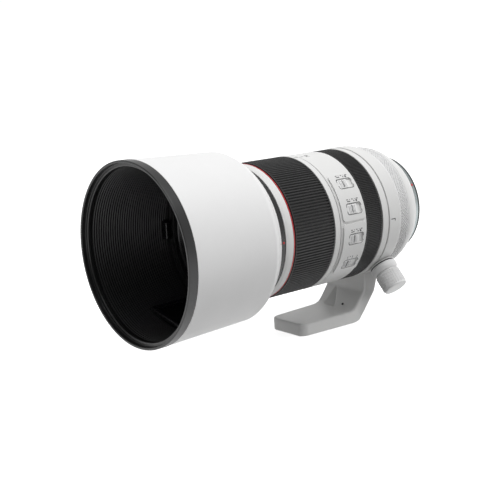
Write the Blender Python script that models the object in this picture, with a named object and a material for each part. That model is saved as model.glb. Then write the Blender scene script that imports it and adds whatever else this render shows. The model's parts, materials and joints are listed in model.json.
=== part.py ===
"""Telephoto zoom lens with a deep bayonet hood and a tripod collar.

Units are metres. The optical axis runs along +X: the hood's mouth faces -X and the camera mount +X.
+Z is up, and the origin is under the middle of the lens, on the surface that its foot stands on.
Stations along the axis are distances behind the hood's front edge; at() turns one into an X.
"""

from math import cos, degrees, pi, radians, sin

import bmesh
import bpy
from mathutils import Matrix, Vector

# ---- fits ----
GAP = 0.0003            # between pieces that are fixed to each other
TURN_GAP = 0.0005       # radial clearance between rings that turn in or slide through each other

# ---- lengths along the axis, front to rear ----
RIM_LENGTH = 0.0065
HOOD_LENGTH = 0.0679
HOOD_OVERLAP = 0.0049   # how far the seated hood reaches back over the front ring
FRONT_RING_LENGTH = 0.0217
WHITE_RING_LENGTH = 0.0063
RED_RING_LENGTH = 0.0008
ZOOM_GRIP_LENGTH = 0.0344
ZOOM_SKIRT_LENGTH = 0.0051
PANEL_BARREL_LENGTH = 0.0236
FOCUS_GRIP_LENGTH = 0.01545
REAR_RING_LENGTH = 0.00575
COLLAR_LENGTH = 0.0108
CONTROL_LENGTH = 0.0121
TAIL_LENGTH = 0.0131
FLANGE_LENGTH = 0.0078
LUG_LENGTH = 0.0055
LUG_COUNT = 3
LUG_START = 30.0        # degrees
LUG_ANGLE = 50.0
LUG_THICKNESS = 0.0022
LUG_PROUD = 0.0016

# ---- outer radii: the grips, and the other rings by their step up or down from them ----
BARREL_R = 0.04495      # both rubber grips
FRONT_RING_R = BARREL_R - 0.00145
WHITE_RING_R = BARREL_R - 0.00065
RED_RING_PROUD = 0.0001     # above the white ring
SKIRT_PROUD = 0.0001        # the painted rings, above the grips
COLLAR_R = BARREL_R + 0.00045
CONTROL_FRONT_R = BARREL_R - 0.00065
CONTROL_REAR_R = CONTROL_FRONT_R - 0.0011
TAIL_SHOULDER_STEP = 0.0018     # from the control ring to where the tail turns in
TAIL_SHOULDER = 0.45            # where that is, as a share of the tail's length
HOOD_REAR_R = FRONT_RING_R + 0.0112
HOOD_MOUTH_R = HOOD_REAR_R + 0.0027
TAIL_REAR_R = 0.0372
FLANGE_R = 0.0345
FLANGE_CHAMFER = 0.0014
FLANGE_LIP = 0.0010         # how far the flange's front edge stands above its side
FLANGE_LIP_LENGTH = 0.0030
MOUNT_LUG_R = 0.0256

# ---- walls ----
HOOD_SHELL_WALL = 0.0013
HOOD_LINER_WALL = 0.0010
SHOULDER_LENGTH = 0.0093        # the hood's rounded rear end, behind its straight wall
SHOULDER_DROP = 0.0070          # how far that end turns in
SHOULDER_LIP = 0.0022           # width of the rim round its opening
HOOD_REAR_LIP = 0.0035  # length of the bayonet ring in the hood's rear
RIM_WALL = 0.0020       # of the rubber rim, at its lip
RIM_STEP_R_DROP = 0.0040        # from the mouth's radius to the edge of the step inside the lip
RIM_STEP = 0.0030       # how far that step is behind the lip
DOOR_WALL = 0.0008
GRIP_WALL = 0.0014
SLEEVE_WALL = 0.0010
TUBE_WALL = 0.0011
CONTROL_WALL = 0.0030   # from the control ring's rear edge to the spindle under it
SPINDLE_WALL = 0.0016
TAIL_END_WALL = 0.0050  # from the flange's outside to the bore at the tail's end
SPIGOT_WALL = 0.0022
CONTACT_WALL = 0.0026
CONTACT_SPAN = (-125.0, -55.0)      # degrees
BAFFLE_BORE = 0.0185
BAFFLE_LENGTH = 0.0030
CONTROL_SET_BACK = 0.0008   # of the control ring, behind the collar
CONTROL_LEAD = 0.0014       # length of the slope at its front
CONTROL_CHAMFER = 0.0008

# ---- front group and zoom ----
ZOOM_TRAVEL = 0.058
ZOOM_TURN = 75.0        # degrees
SLOT_END_ROOM = 0.0030  # from a roller's centre at its limit to the end of its slot
SLOT_LAND = 0.0020      # of tube left beyond each slot
SLOT_PLAY = 0.0004
CUT_ROOM = 0.0020       # how far a cutter reaches past the wall that it cuts
TUBE_BACK = 0.0270      # how far the extending tube reaches behind the zoom ring's skirt
ROLLER_R = 0.0020
ROLLER_COUNT = 3
FILTER_R = FRONT_RING_R - 0.0050        # bore of the front ring, for 77 mm filters
FRONT_RING_CHAMFER = 0.0006
FILTER_THREAD = 0.0032  # its depth
FRONT_RETAINER_LENGTH = 0.0028
FRONT_RETAINER_LIP = 0.0016     # how far it covers the glass
FRONT_GLASS_R = FILTER_R - 0.0033
FRONT_GLASS_SET_BACK = 0.0050   # behind the front cell's face
FRONT_GLASS_EDGE = 0.0035
SECOND_GLASS_SET_BACK = 0.0075  # behind the front element's edge
SECOND_GLASS_EDGE = 0.0028
CELL_BACK = 0.0055      # how far the front cell reaches behind the front ring

# ---- optics and drives inside, front to rear ----
VARIATOR_SET_BACK = 0.0162      # behind the front of the zoom ring
VARIATOR_LENGTH = 0.0160
VARIATOR_GLASS_R = 0.0250
IRIS_SET_BACK = 0.0060          # behind the variator
IRIS_LENGTH = 0.0035
IRIS_BORE = 0.0165
IRIS_DRIVE_LENGTH = 0.0014
IRIS_DRIVE_R = 0.0230
STABILISER_BASE_LENGTH = 0.0030
STABILISER_FRAME_LENGTH = 0.0020
STABILISER_CARRIAGE_LENGTH = 0.0050
STABILISER_GLASS_R = 0.0160
FOCUS_SET_BACK = 0.0145         # behind the stabiliser
FOCUS_CELL_LENGTH = 0.0080
FOCUS_GLASS_R = 0.0165
ROD_LENGTH = 0.0380
ROD_R = 0.0010
ROD_CLEAR = 0.0060      # from the focusing cell to the middle of a rod
ROD_ANGLES = (60.0, 240.0)      # degrees
MOTOR_LENGTH = 0.0300
MOTOR_THICKNESS = 0.0050
MOTOR_CLEAR = 0.0040
MOTOR_SPAN = (100.0, 140.0)     # degrees
HOUSING_DROP = 0.0010           # of the fixed housings, below the cells that slide
STABILISER_FRAME_WALL = 0.0100
STABILISER_CARRIAGE_WALL = 0.0055
REAR_CELL_LENGTH = 0.0110
REAR_CELL_LEAD = 0.0040         # how far the rear cell reaches ahead of the tail
REAR_GLASS_R = 0.0165
BOARD_THICKNESS = 0.0012
BOARD_SET_BACK = 0.0010         # behind the front of the tail
BOARD_R = 0.0345
CELL_WALL = 0.0035
MOVE_ROOM = 0.0030              # between groups that move past each other

# ---- hood door and release ----
DOOR_ANGLE = -102.0     # degrees from the near side, upwards positive
DOOR_HALF_ANGLE = 19.0
DOOR_FRONT = 0.0320
DOOR_LENGTH = 0.0255
DOOR_MARGIN = 0.0012    # how far the door overlaps the edge of its window
RELEASE_LENGTH = 0.0120
RELEASE_WIDTH = 0.0090
RELEASE_PROUD = 0.0012
HOOD_CUT_IN = 0.0060    # how far inside the hood's outer surface its cutters start
HOOD_CUT_OUT = 0.0040   # and how far outside it they end

# ---- switches ----
SWITCH_ANGLES = {"focus_limit_switch": 37.5, "focus_mode_switch": 15.5,
                 "stabiliser_switch": -9.5, "stabiliser_mode_switch": -33.0}
SWITCH_LENGTHS = {"focus_limit_switch": 0.0086, "focus_mode_switch": 0.0086,
                  "stabiliser_switch": 0.0086, "stabiliser_mode_switch": 0.0069}
WINDOW_LENGTH = 0.0125
WINDOW_HEIGHT = 0.0067
PANEL_PROUD = 0.0007
SLIDER_PROUD = 0.0003   # above the panel
SWITCH_PLACE = 0.55     # where the switches are, as a share of the panel barrel's length
POCKET_DEPTH = 0.0006   # of the sliders' pockets in the panel barrel
PANEL_SPANS = {"upper_switch_panel": (6.0, 47.0), "lower_switch_panel": (-42.5, 4.0)}
PANEL_MARGIN = 0.0016   # from each end of the panel barrel

# ---- tripod collar ----
AXIS_HEIGHT = COLLAR_R + 0.0298
COLLAR_SEAT_DROP = 0.0030       # from the collar's outside to the seat that it turns on
SEAT_WALL = 0.0030
FOOT_LENGTH = 0.0495
FOOT_AHEAD = 0.0664     # how far the foot's front end is ahead of the control ring's front
FOOT_THICKNESS = 0.0089
FOOT_HALF_WIDTH = 0.0183
FOOT_NOSE_HALF_WIDTH = 0.0115
FOOT_NOSE_TAPER = 0.0030        # how much narrower each side is at the nose's corners
FOOT_CHAMFER = 0.0050
FOOT_WALL_HEIGHT = 0.0120       # height at which the foot starts to widen into its neck
NECK_HALF_WIDTH = 0.0240
NECK_WIDE_HEIGHT = 0.0290       # height at which the neck has its full width
NECK_FRONT_HEIGHT = 0.0195      # height at which the neck's front face turns upright
NECK_REAR_HEIGHT = 0.0215       # the same for its rear face
NECK_TOP_DROP = 0.0300          # below the axis, before the saddle is cut
KNOB_ANGLE = -48.0      # degrees from the near side, upwards positive
KNOB_SET_BACK = 0.0016  # behind the middle of the collar
KNOB_R = 0.0082
KNOB_FLANGE_R = 0.0093
KNOB_FLANGE_LENGTH = 0.0054
KNOB_LENGTH = 0.0131
BOSS_HEIGHT = 0.0012
SCREW_R = 0.0020
BUSH_R = 0.0060
BUSH_LENGTH = 0.0070
THREAD_R = 0.003175     # 1/4 inch tripod thread
THREAD_DEPTH = 0.0056

# ---- sides of the turned pieces ----
OUTER_SIDES = 40
INNER_SIDES = 24
KNOB_SIDES = 24
SMALL_SIDES = 16
PIN_SIDES = 12

# ---- stations worked out from the lengths ----
RING_FRONT = HOOD_LENGTH - HOOD_OVERLAP
WHITE_FRONT = RING_FRONT + FRONT_RING_LENGTH
RED_FRONT = WHITE_FRONT + WHITE_RING_LENGTH
ZOOM_FRONT = RED_FRONT + RED_RING_LENGTH
SKIRT_FRONT = ZOOM_FRONT + ZOOM_GRIP_LENGTH
PANEL_FRONT = SKIRT_FRONT + ZOOM_SKIRT_LENGTH
FOCUS_FRONT = PANEL_FRONT + PANEL_BARREL_LENGTH
REAR_RING_FRONT = FOCUS_FRONT + FOCUS_GRIP_LENGTH
COLLAR_FRONT = REAR_RING_FRONT + REAR_RING_LENGTH
CONTROL_FRONT = COLLAR_FRONT + COLLAR_LENGTH
TAIL_FRONT = CONTROL_FRONT + CONTROL_LENGTH
FLANGE_FRONT = TAIL_FRONT + TAIL_LENGTH
MOUNT_FACE = FLANGE_FRONT + FLANGE_LENGTH
TOTAL_LENGTH = MOUNT_FACE + LUG_LENGTH
TUBE_REAR = PANEL_FRONT + TUBE_BACK
ROLLER_STATION = TUBE_REAR - 2 * ROLLER_R
TUBE_SLOT_FRONT = ROLLER_STATION - ZOOM_TRAVEL - SLOT_END_ROOM
TUBE_SLOT_REAR = ROLLER_STATION + SLOT_END_ROOM
FOOT_FRONT = CONTROL_FRONT - FOOT_AHEAD
HEEL_STATION = FOOT_FRONT + FOOT_LENGTH

# ---- radii worked out from the fits, outside to inside ----
SLEEVE_R = BARREL_R - GRIP_WALL - GAP
SLEEVE_BORE = SLEEVE_R - SLEEVE_WALL
OUTER_BARREL_R = SLEEVE_BORE - TURN_GAP
OUTER_BARREL_BORE = OUTER_BARREL_R - 0.9 * TUBE_WALL
TUBE_R = OUTER_BARREL_BORE - TURN_GAP
TUBE_BORE = TUBE_R - TUBE_WALL
GUIDE_R = TUBE_BORE - TURN_GAP
GUIDE_BORE = GUIDE_R - TUBE_WALL
CAM_R = GUIDE_BORE - TURN_GAP
CAM_BORE = CAM_R - TUBE_WALL
CELL_R = CAM_BORE - TURN_GAP
SWITCH_STATION = PANEL_FRONT + SWITCH_PLACE * PANEL_BARREL_LENGTH
PANEL_R = BARREL_R + GAP
PANEL_OUT = PANEL_R + PANEL_PROUD
COLLAR_SEAT_R = COLLAR_R - COLLAR_SEAT_DROP
COLLAR_BORE = COLLAR_SEAT_R + TURN_GAP
KNOB_STATION = COLLAR_FRONT + COLLAR_LENGTH / 2 + KNOB_SET_BACK
VARIATOR_FRONT = ZOOM_FRONT + VARIATOR_SET_BACK
IRIS_FRONT = VARIATOR_FRONT + VARIATOR_LENGTH + IRIS_SET_BACK


def at(station):
    """X of a station behind the hood's front edge."""
    return station - TOTAL_LENGTH / 2


def on_cylinder(station, radius, angle):
    """A point at a radius and an angle from the near side (-Y), upwards positive."""
    turn = radians(angle)
    return Vector((at(station), -radius * cos(turn), AXIS_HEIGHT + radius * sin(turn)))


def hood_radius(station):
    """Outer radius of the hood, which narrows evenly from mouth to rear."""
    return HOOD_MOUTH_R + (HOOD_REAR_R - HOOD_MOUTH_R) * station / HOOD_LENGTH


# ---- building ----
def clear_scene():
    for obj in list(bpy.data.objects):
        bpy.data.objects.remove(obj, do_unlink=True)


def material(name, colour, roughness, metallic=0.0, alpha=1.0):
    found = bpy.data.materials.get(name)
    if found:
        return found
    made = bpy.data.materials.new(name)
    made.use_nodes = True
    shader = made.node_tree.nodes["Principled BSDF"]
    shader.inputs["Base Color"].default_value = (*colour, 1.0)
    shader.inputs["Roughness"].default_value = roughness
    shader.inputs["Metallic"].default_value = metallic
    shader.inputs["Alpha"].default_value = alpha
    made.diffuse_color = (*colour, 1.0)
    return made


def finishes():
    return {
        "white_paint": material("white_paint", (0.78, 0.78, 0.77), 0.42),
        "white_moulded": material("white_moulded", (0.76, 0.76, 0.75), 0.5),
        "red_ring": material("red_ring", (0.55, 0.02, 0.03), 0.35),
        "grip_rubber": material("grip_rubber", (0.035, 0.035, 0.037), 0.7),
        "black_plastic": material("black_plastic", (0.02, 0.02, 0.021), 0.5),
        "black_anodised": material("black_anodised", (0.03, 0.03, 0.032), 0.35, 0.6),
        "chrome_mount": material("chrome_mount", (0.6, 0.61, 0.62), 0.25, 1.0),
        "steel": material("steel", (0.5, 0.5, 0.51), 0.3, 1.0),
        "coated_glass": material("coated_glass", (0.12, 0.16, 0.2), 0.05, 0.0, 0.35),
        "circuit_board": material("circuit_board", (0.02, 0.16, 0.07), 0.5),
    }


FINISH = {}


def add_object(name, mesh_maker, finish, origin=None, helper=False):
    """An object whose mesh is given in world places, with its origin moved to a chosen point."""
    origin = Vector(origin) if origin is not None else Vector((0, 0, AXIS_HEIGHT))
    mesh_maker.normal_update()
    bmesh.ops.transform(mesh_maker, matrix=Matrix.Translation(-origin), verts=mesh_maker.verts)
    mesh = bpy.data.meshes.new(name)
    mesh_maker.to_mesh(mesh)
    mesh_maker.free()
    mesh.shade_smooth()
    mesh.set_sharp_from_angle(angle=radians(35))
    obj = bpy.data.objects.new(name, mesh)
    obj.location = origin
    bpy.context.collection.objects.link(obj)
    if helper:
        obj.hide_render = True
        obj.display_type = "WIRE"
    else:
        mesh.materials.append(FINISH[finish])
    return obj


def turned_mesh(profile, sides, closed=True):
    """The (station, radius) outline spun about the optical axis; an open outline ends on the axis."""
    maker = bmesh.new()
    corners = [maker.verts.new((at(s), 0, AXIS_HEIGHT + r)) for s, r in profile]
    pairs = list(zip(corners, corners[1:] + corners[:1])) if closed else list(zip(corners, corners[1:]))
    edges = [maker.edges.new(pair) for pair in pairs]
    bmesh.ops.spin(maker, geom=corners + edges, cent=(0, 0, AXIS_HEIGHT), axis=(1, 0, 0),
                   angle=2 * pi, steps=sides, use_merge=True, use_duplicate=False)
    bmesh.ops.remove_doubles(maker, verts=maker.verts, dist=1e-7)
    bmesh.ops.recalc_face_normals(maker, faces=maker.faces)
    return maker


def turned(name, profile, finish, sides=OUTER_SIDES, closed=True):
    return add_object(name, turned_mesh(profile, sides, closed), finish)


def tube(name, front, rear, outer, bore, finish, sides=OUTER_SIDES):
    return turned(name, [(front, bore), (front, outer), (rear, outer), (rear, bore)], finish, sides)


def lens_element(name, front, rear, radius, front_bulge, rear_bulge, steps=3):
    """A round element: its faces bulge forward by front_bulge and backward by rear_bulge."""
    ring = [radius * k / steps for k in range(steps + 1)]
    front_face = [(front - front_bulge * (1 - (r / radius) ** 2), r) for r in ring]
    rear_face = [(rear + rear_bulge * (1 - (r / radius) ** 2), r) for r in reversed(ring)]
    return turned(name, front_face + rear_face, "coated_glass", INNER_SIDES, closed=False)


def cell(name, front, rear, outer, glass_radius, lip=0.0012):
    """A lens cell: a short tube with a lip in front of the glass that it holds."""
    profile = [(front, glass_radius - lip), (front, outer), (rear, outer),
               (rear, glass_radius + GAP), (front + lip, glass_radius + GAP),
               (front + lip, glass_radius - lip)]
    return turned(name, profile, "black_anodised", INNER_SIDES)


def prism_mesh(outline, place, low, high):
    """An outline of (a, b) pairs carried from low to high; place(a, b, c) gives each point."""
    maker = bmesh.new()
    rings = [[maker.verts.new(place(a, b, c)) for a, b in outline] for c in (low, high)]
    for face in rings:
        maker.faces.new(face)
    for k in range(len(outline)):
        after = (k + 1) % len(outline)
        maker.faces.new((rings[0][k], rings[0][after], rings[1][after], rings[1][k]))
    bmesh.ops.recalc_face_normals(maker, faces=maker.faces)
    return maker


def curved_block_mesh(front, rear, low_angle, high_angle, inner, outer, steps):
    """A block bent round the axis. inner and outer give its two radii at a station."""
    maker = bmesh.new()
    grid = {}
    for end, station in enumerate((front, rear)):
        for k in range(steps + 1):
            turn = low_angle + (high_angle - low_angle) * k / steps
            for shell, radius in enumerate((inner, outer)):
                grid[end, k, shell] = maker.verts.new(on_cylinder(station, radius(station), turn))

    def face(*keys):
        maker.faces.new([grid[key] for key in keys])

    for k in range(steps):
        for shell in (0, 1):
            face((0, k, shell), (0, k + 1, shell), (1, k + 1, shell), (1, k, shell))
        for end in (0, 1):
            face((end, k, 0), (end, k + 1, 0), (end, k + 1, 1), (end, k, 1))
    for k in (0, steps):
        face((0, k, 0), (1, k, 0), (1, k, 1), (0, k, 1))
    bmesh.ops.recalc_face_normals(maker, faces=maker.faces)
    return maker


def slot_mesh(front, rear, angle, turn, half_width, inner, outer, steps):
    """A slot along the axis, turning by turn degrees from front to rear, of one width across its run."""
    maker = bmesh.new()
    middle_r = (inner + outer) / 2
    slope = radians(turn) * middle_r / (rear - front)
    across = half_width * (1 + slope * slope) ** 0.5
    rings = []
    for k in range(steps + 1):
        part = k / steps
        station = front + (rear - front) * part
        here = radians(angle + turn * part)
        ring = []
        for side, radius in ((-1, inner), (1, inner), (1, outer), (-1, outer)):
            aim = here + side * across / middle_r
            ring.append(maker.verts.new((at(station), -radius * cos(aim), AXIS_HEIGHT + radius * sin(aim))))
        rings.append(ring)
    for ring, after in zip(rings, rings[1:]):
        for k in range(4):
            maker.faces.new((ring[k], ring[(k + 1) % 4], after[(k + 1) % 4], after[k]))
    maker.faces.new(rings[0])
    maker.faces.new(rings[-1])
    bmesh.ops.recalc_face_normals(maker, faces=maker.faces)
    return maker


def rod_mesh(start, end, radius, sides):
    """A round rod between two points."""
    run = end - start
    maker = bmesh.new()
    turn = run.to_track_quat("Z", "Y").to_matrix().to_4x4()
    bmesh.ops.create_cone(maker, cap_ends=True, segments=sides, radius1=radius, radius2=radius,
                          depth=run.length, matrix=Matrix.Translation((start + end) / 2) @ turn)
    return maker


def boolean(obj, operation, maker, label):
    """A Boolean modifier on obj, with a hidden helper as its other solid."""
    helper = add_object(f"{obj.name}_{label}_tool", maker, None, helper=True)
    modifier = obj.modifiers.new(label, "BOOLEAN")
    modifier.operation = operation
    modifier.solver = "EXACT"
    modifier.object = helper


# ---- hood ----
def hood_wall(outset, wall):
    """Outer and inner radius functions of a layer of the hood, outset inwards from its outside."""
    return (lambda s: hood_radius(s) - outset - wall), (lambda s: hood_radius(s) - outset)


def make_hood():
    shell_in, shell_out = hood_wall(0.0, HOOD_SHELL_WALL)
    liner_outset = HOOD_SHELL_WALL + DOOR_WALL + 2 * GAP
    liner_in, liner_out = hood_wall(liner_outset, HOOD_LINER_WALL)
    bayonet_bore = FRONT_RING_R + TURN_GAP
    shell = turned("hood_shell", [
        (RIM_LENGTH, shell_in(RIM_LENGTH)), (RIM_LENGTH, shell_out(RIM_LENGTH)),
        (HOOD_LENGTH, shell_out(HOOD_LENGTH)), (HOOD_LENGTH, shell_in(HOOD_LENGTH))], "white_moulded")
    shoulder_rear, shoulder_r = HOOD_LENGTH + SHOULDER_LENGTH, HOOD_REAR_R - SHOULDER_DROP
    turned("hood_rear_cap", [
        (HOOD_LENGTH + GAP, HOOD_REAR_R - SHOULDER_LIP), (HOOD_LENGTH + GAP, HOOD_REAR_R),
        (shoulder_rear, shoulder_r), (shoulder_rear - SHOULDER_LIP, shoulder_r)], "white_moulded")
    liner_rear = HOOD_LENGTH - HOOD_REAR_LIP - GAP
    liner = turned("hood_liner", [
        (RIM_LENGTH, liner_in(RIM_LENGTH)), (RIM_LENGTH, liner_out(RIM_LENGTH)),
        (liner_rear, liner_out(liner_rear)), (liner_rear, liner_in(liner_rear))], "black_plastic")
    bayonet_out = shell_in(HOOD_LENGTH) - GAP
    turned("hood_bayonet_ring", [
        (HOOD_LENGTH - HOOD_REAR_LIP, bayonet_bore), (HOOD_LENGTH - HOOD_REAR_LIP, bayonet_out),
        (HOOD_LENGTH, bayonet_out), (HOOD_LENGTH, bayonet_bore)], "black_plastic")
    rim_rear = RIM_LENGTH - GAP
    turned("hood_rim", [
        (0.0, HOOD_MOUTH_R - RIM_WALL), (0.0, HOOD_MOUTH_R), (rim_rear, hood_radius(RIM_LENGTH) + GAP),
        (rim_rear, liner_in(RIM_LENGTH)), (RIM_STEP, HOOD_MOUTH_R - RIM_STEP_R_DROP),
        (RIM_STEP, HOOD_MOUTH_R - RIM_WALL)], "grip_rubber")
    make_hood_window(shell, liner)
    make_hood_release(shell)


def hood_cutter(front, rear, low_angle, high_angle, steps):
    """A bent block that reaches through the whole wall of the hood."""
    return curved_block_mesh(front, rear, low_angle, high_angle, lambda s: hood_radius(s) - HOOD_CUT_IN,
                             lambda s: hood_radius(s) + HOOD_CUT_OUT, steps)


def make_hood_window(shell, liner):
    """A sliding door between the shell and the liner, over a window cut through both."""
    low, high = DOOR_ANGLE - DOOR_HALF_ANGLE, DOOR_ANGLE + DOOR_HALF_ANGLE
    rear = DOOR_FRONT + DOOR_LENGTH
    boolean(shell, "DIFFERENCE", hood_cutter(DOOR_FRONT, rear, low, high, 5), "window")
    boolean(liner, "DIFFERENCE", hood_cutter(DOOR_FRONT, rear, low, high, 5), "window")
    door_in, door_out = hood_wall(HOOD_SHELL_WALL + GAP, DOOR_WALL)
    over = degrees(DOOR_MARGIN / HOOD_REAR_R)
    add_object("hood_window", curved_block_mesh(DOOR_FRONT - DOOR_MARGIN, rear + DOOR_MARGIN, low - over,
               high + over, door_in, door_out, 6), "white_moulded")


def make_hood_release(shell):
    """The button that frees the hood's bayonet. It sits in a hole in the shell, and clears the liner pressed in."""
    front = HOOD_LENGTH - RELEASE_LENGTH - HOOD_REAR_LIP
    rear = front + RELEASE_LENGTH
    half = degrees(RELEASE_WIDTH / HOOD_REAR_R / 2)
    room = degrees(TURN_GAP / HOOD_REAR_R)
    hole = hood_cutter(front - TURN_GAP, rear + TURN_GAP, 180 - half - room, 180 + half + room, 1)
    boolean(shell, "DIFFERENCE", hole, "release")
    add_object("hood_release_button", curved_block_mesh(front, rear, 180 - half, 180 + half,
               lambda s: hood_radius(s) - HOOD_SHELL_WALL - GAP, lambda s: hood_radius(s) + RELEASE_PROUD, 2),
               "white_moulded")


# ---- front group ----
def roller_angle(k):
    return 90 + 360 * k / ROLLER_COUNT


def make_front_group():
    thread_rear = RING_FRONT + FILTER_THREAD
    seat = thread_rear + FRONT_RETAINER_LENGTH
    ring_rear = WHITE_FRONT - GAP
    turned("front_ring", [
        (RING_FRONT, FILTER_R), (RING_FRONT, FRONT_RING_R - FRONT_RING_CHAMFER),
        (RING_FRONT + FRONT_RING_CHAMFER, FRONT_RING_R), (ring_rear, FRONT_RING_R), (ring_rear, FILTER_R)],
        "black_anodised")
    band_bore = TUBE_R + GAP
    turned("white_band", [
        (WHITE_FRONT, band_bore), (WHITE_FRONT, FRONT_RING_R),
        (WHITE_FRONT + 2 * FRONT_RING_CHAMFER, WHITE_RING_R), (RED_FRONT - GAP, WHITE_RING_R),
        (RED_FRONT - GAP, band_bore)], "white_paint")
    tube("red_band", RED_FRONT, ZOOM_FRONT - GAP, WHITE_RING_R + RED_RING_PROUD, band_bore, "red_ring")
    tube("extending_tube", WHITE_FRONT + GAP, TUBE_REAR, TUBE_R, TUBE_BORE, "white_paint")
    cell("front_cell", seat, WHITE_FRONT + CELL_BACK, FILTER_R - GAP, FRONT_GLASS_R)
    glass = seat + FRONT_GLASS_SET_BACK
    second = glass + SECOND_GLASS_SET_BACK
    lens_element("front_element", glass, glass + FRONT_GLASS_EDGE, FRONT_GLASS_R, 0.0030, 0.0008)
    lens_element("second_element", second, second + SECOND_GLASS_EDGE, FRONT_GLASS_R, 0.0024, 0.0)
    tube("front_retaining_ring", thread_rear, seat - GAP, FILTER_R - GAP, FRONT_GLASS_R - FRONT_RETAINER_LIP,
         "black_anodised", INNER_SIDES)
    for k in range(ROLLER_COUNT):
        reach = CAM_BORE + GAP, TUBE_BORE - 2 * GAP
        ends = [on_cylinder(ROLLER_STATION, radius, roller_angle(k)) for radius in reach]
        add_object(f"cam_roller_{k + 1}", rod_mesh(*ends, ROLLER_R, PIN_SIDES), "steel")


# ---- zoom ring, cam and variator ----
def make_zoom():
    sleeve_front = ZOOM_FRONT + GAP
    skirt_r = BARREL_R + SKIRT_PROUD
    turned("zoom_ring", [
        (sleeve_front, SLEEVE_BORE), (sleeve_front, SLEEVE_R), (SKIRT_FRONT, SLEEVE_R), (SKIRT_FRONT, skirt_r),
        (PANEL_FRONT - GAP, skirt_r), (PANEL_FRONT - GAP, SLEEVE_BORE)], "white_paint")
    tube("zoom_grip", sleeve_front, SKIRT_FRONT - GAP, BARREL_R, SLEEVE_R + GAP, "grip_rubber")
    make_cam()
    front = VARIATOR_FRONT
    cell("variator_cell", front, front + VARIATOR_LENGTH, CELL_R, VARIATOR_GLASS_R)
    lens_element("variator_front_element", front + 0.0030, front + 0.0070, VARIATOR_GLASS_R, -0.0008, -0.0022)
    lens_element("variator_rear_element", front + 0.0100, front + 0.0125, VARIATOR_GLASS_R, 0.0016, 0.0010)


def make_cam():
    """Straight slots in the fixed guide barrel and helical ones in the cam tube, where the rollers run."""
    front = TUBE_SLOT_FRONT - SLOT_LAND
    cam = tube("cam_tube", front, TUBE_SLOT_REAR + SLOT_LAND, CAM_R, CAM_BORE, "black_anodised")
    guide = tube("guide_barrel", front, REAR_RING_FRONT - GAP, GUIDE_R, GUIDE_BORE, "black_anodised")
    half = ROLLER_R + SLOT_PLAY
    end_turn = ZOOM_TURN / ZOOM_TRAVEL * SLOT_END_ROOM
    for k in range(ROLLER_COUNT):
        turn = roller_angle(k)
        straight = slot_mesh(TUBE_SLOT_FRONT, TUBE_SLOT_REAR, turn, 0.0, half, GUIDE_BORE - CUT_ROOM,
                             GUIDE_R + CUT_ROOM, 1)
        boolean(guide, "DIFFERENCE", straight, f"slot_{k + 1}")
        helix = slot_mesh(TUBE_SLOT_FRONT, TUBE_SLOT_REAR, turn - ZOOM_TURN - end_turn,
                          ZOOM_TURN + 2 * end_turn, half, CAM_BORE - CUT_ROOM, CAM_R + CUT_ROOM, 8)
        boolean(cam, "DIFFERENCE", helix, f"cam_{k + 1}")


# ---- fixed barrel ----
def switch_window(angle):
    """Front, rear, low and high angle of the window over a switch."""
    half = degrees(WINDOW_HEIGHT / PANEL_R / 2)
    return SWITCH_STATION - WINDOW_LENGTH / 2, SWITCH_STATION + WINDOW_LENGTH / 2, angle - half, angle + half


def make_fixed_barrel():
    tube("outer_barrel", ZOOM_FRONT + MOVE_ROOM, REAR_RING_FRONT - GAP, OUTER_BARREL_R, OUTER_BARREL_BORE,
         "black_anodised")
    barrel_rear = FOCUS_FRONT - GAP
    barrel = tube("panel_barrel", PANEL_FRONT, barrel_rear, BARREL_R, OUTER_BARREL_R + GAP, "white_paint")
    panel_front, panel_rear = PANEL_FRONT + PANEL_MARGIN, FOCUS_FRONT - PANEL_MARGIN
    for name, (low, high) in PANEL_SPANS.items():
        plate = curved_block_mesh(panel_front, panel_rear, low, high, lambda s: PANEL_R, lambda s: PANEL_OUT, 8)
        panel = add_object(name, plate, "white_paint")
        for switch, angle in SWITCH_ANGLES.items():
            if low < angle < high:
                boolean(panel, "DIFFERENCE", pocket_mesh(angle, PANEL_R - CUT_ROOM), switch)
    floor_r = BARREL_R - POCKET_DEPTH
    play = degrees(GAP / PANEL_R)
    for switch, angle in SWITCH_ANGLES.items():
        boolean(barrel, "DIFFERENCE", pocket_mesh(angle, floor_r), switch)
        front, _, low, high = switch_window(angle)
        rear = front + SWITCH_LENGTHS[switch]
        slider = curved_block_mesh(front + GAP, rear + GAP, low + play, high - play, lambda s: floor_r + GAP,
                                   lambda s: PANEL_OUT + SLIDER_PROUD, 2)
        add_object(switch, slider, "white_moulded")
    make_rear_ring()


def pocket_mesh(angle, floor_r):
    """The cutter of a switch's window, from floor_r to past the panel's outside."""
    return curved_block_mesh(*switch_window(angle), lambda s: floor_r, lambda s: PANEL_OUT + CUT_ROOM, 1)


def make_rear_ring():
    painted_r = BARREL_R + SKIRT_PROUD
    seat_front, seat_rear = COLLAR_FRONT - GAP, CONTROL_FRONT + GAP
    web_rear = COLLAR_FRONT + TUBE_WALL
    seat_bore = COLLAR_SEAT_R - SEAT_WALL
    turned("rear_ring", [
        (REAR_RING_FRONT, GUIDE_BORE), (REAR_RING_FRONT, painted_r), (seat_front, painted_r),
        (seat_front, COLLAR_SEAT_R), (seat_rear, COLLAR_SEAT_R), (seat_rear, seat_bore), (web_rear, seat_bore),
        (web_rear, GUIDE_BORE)], "white_paint")


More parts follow.
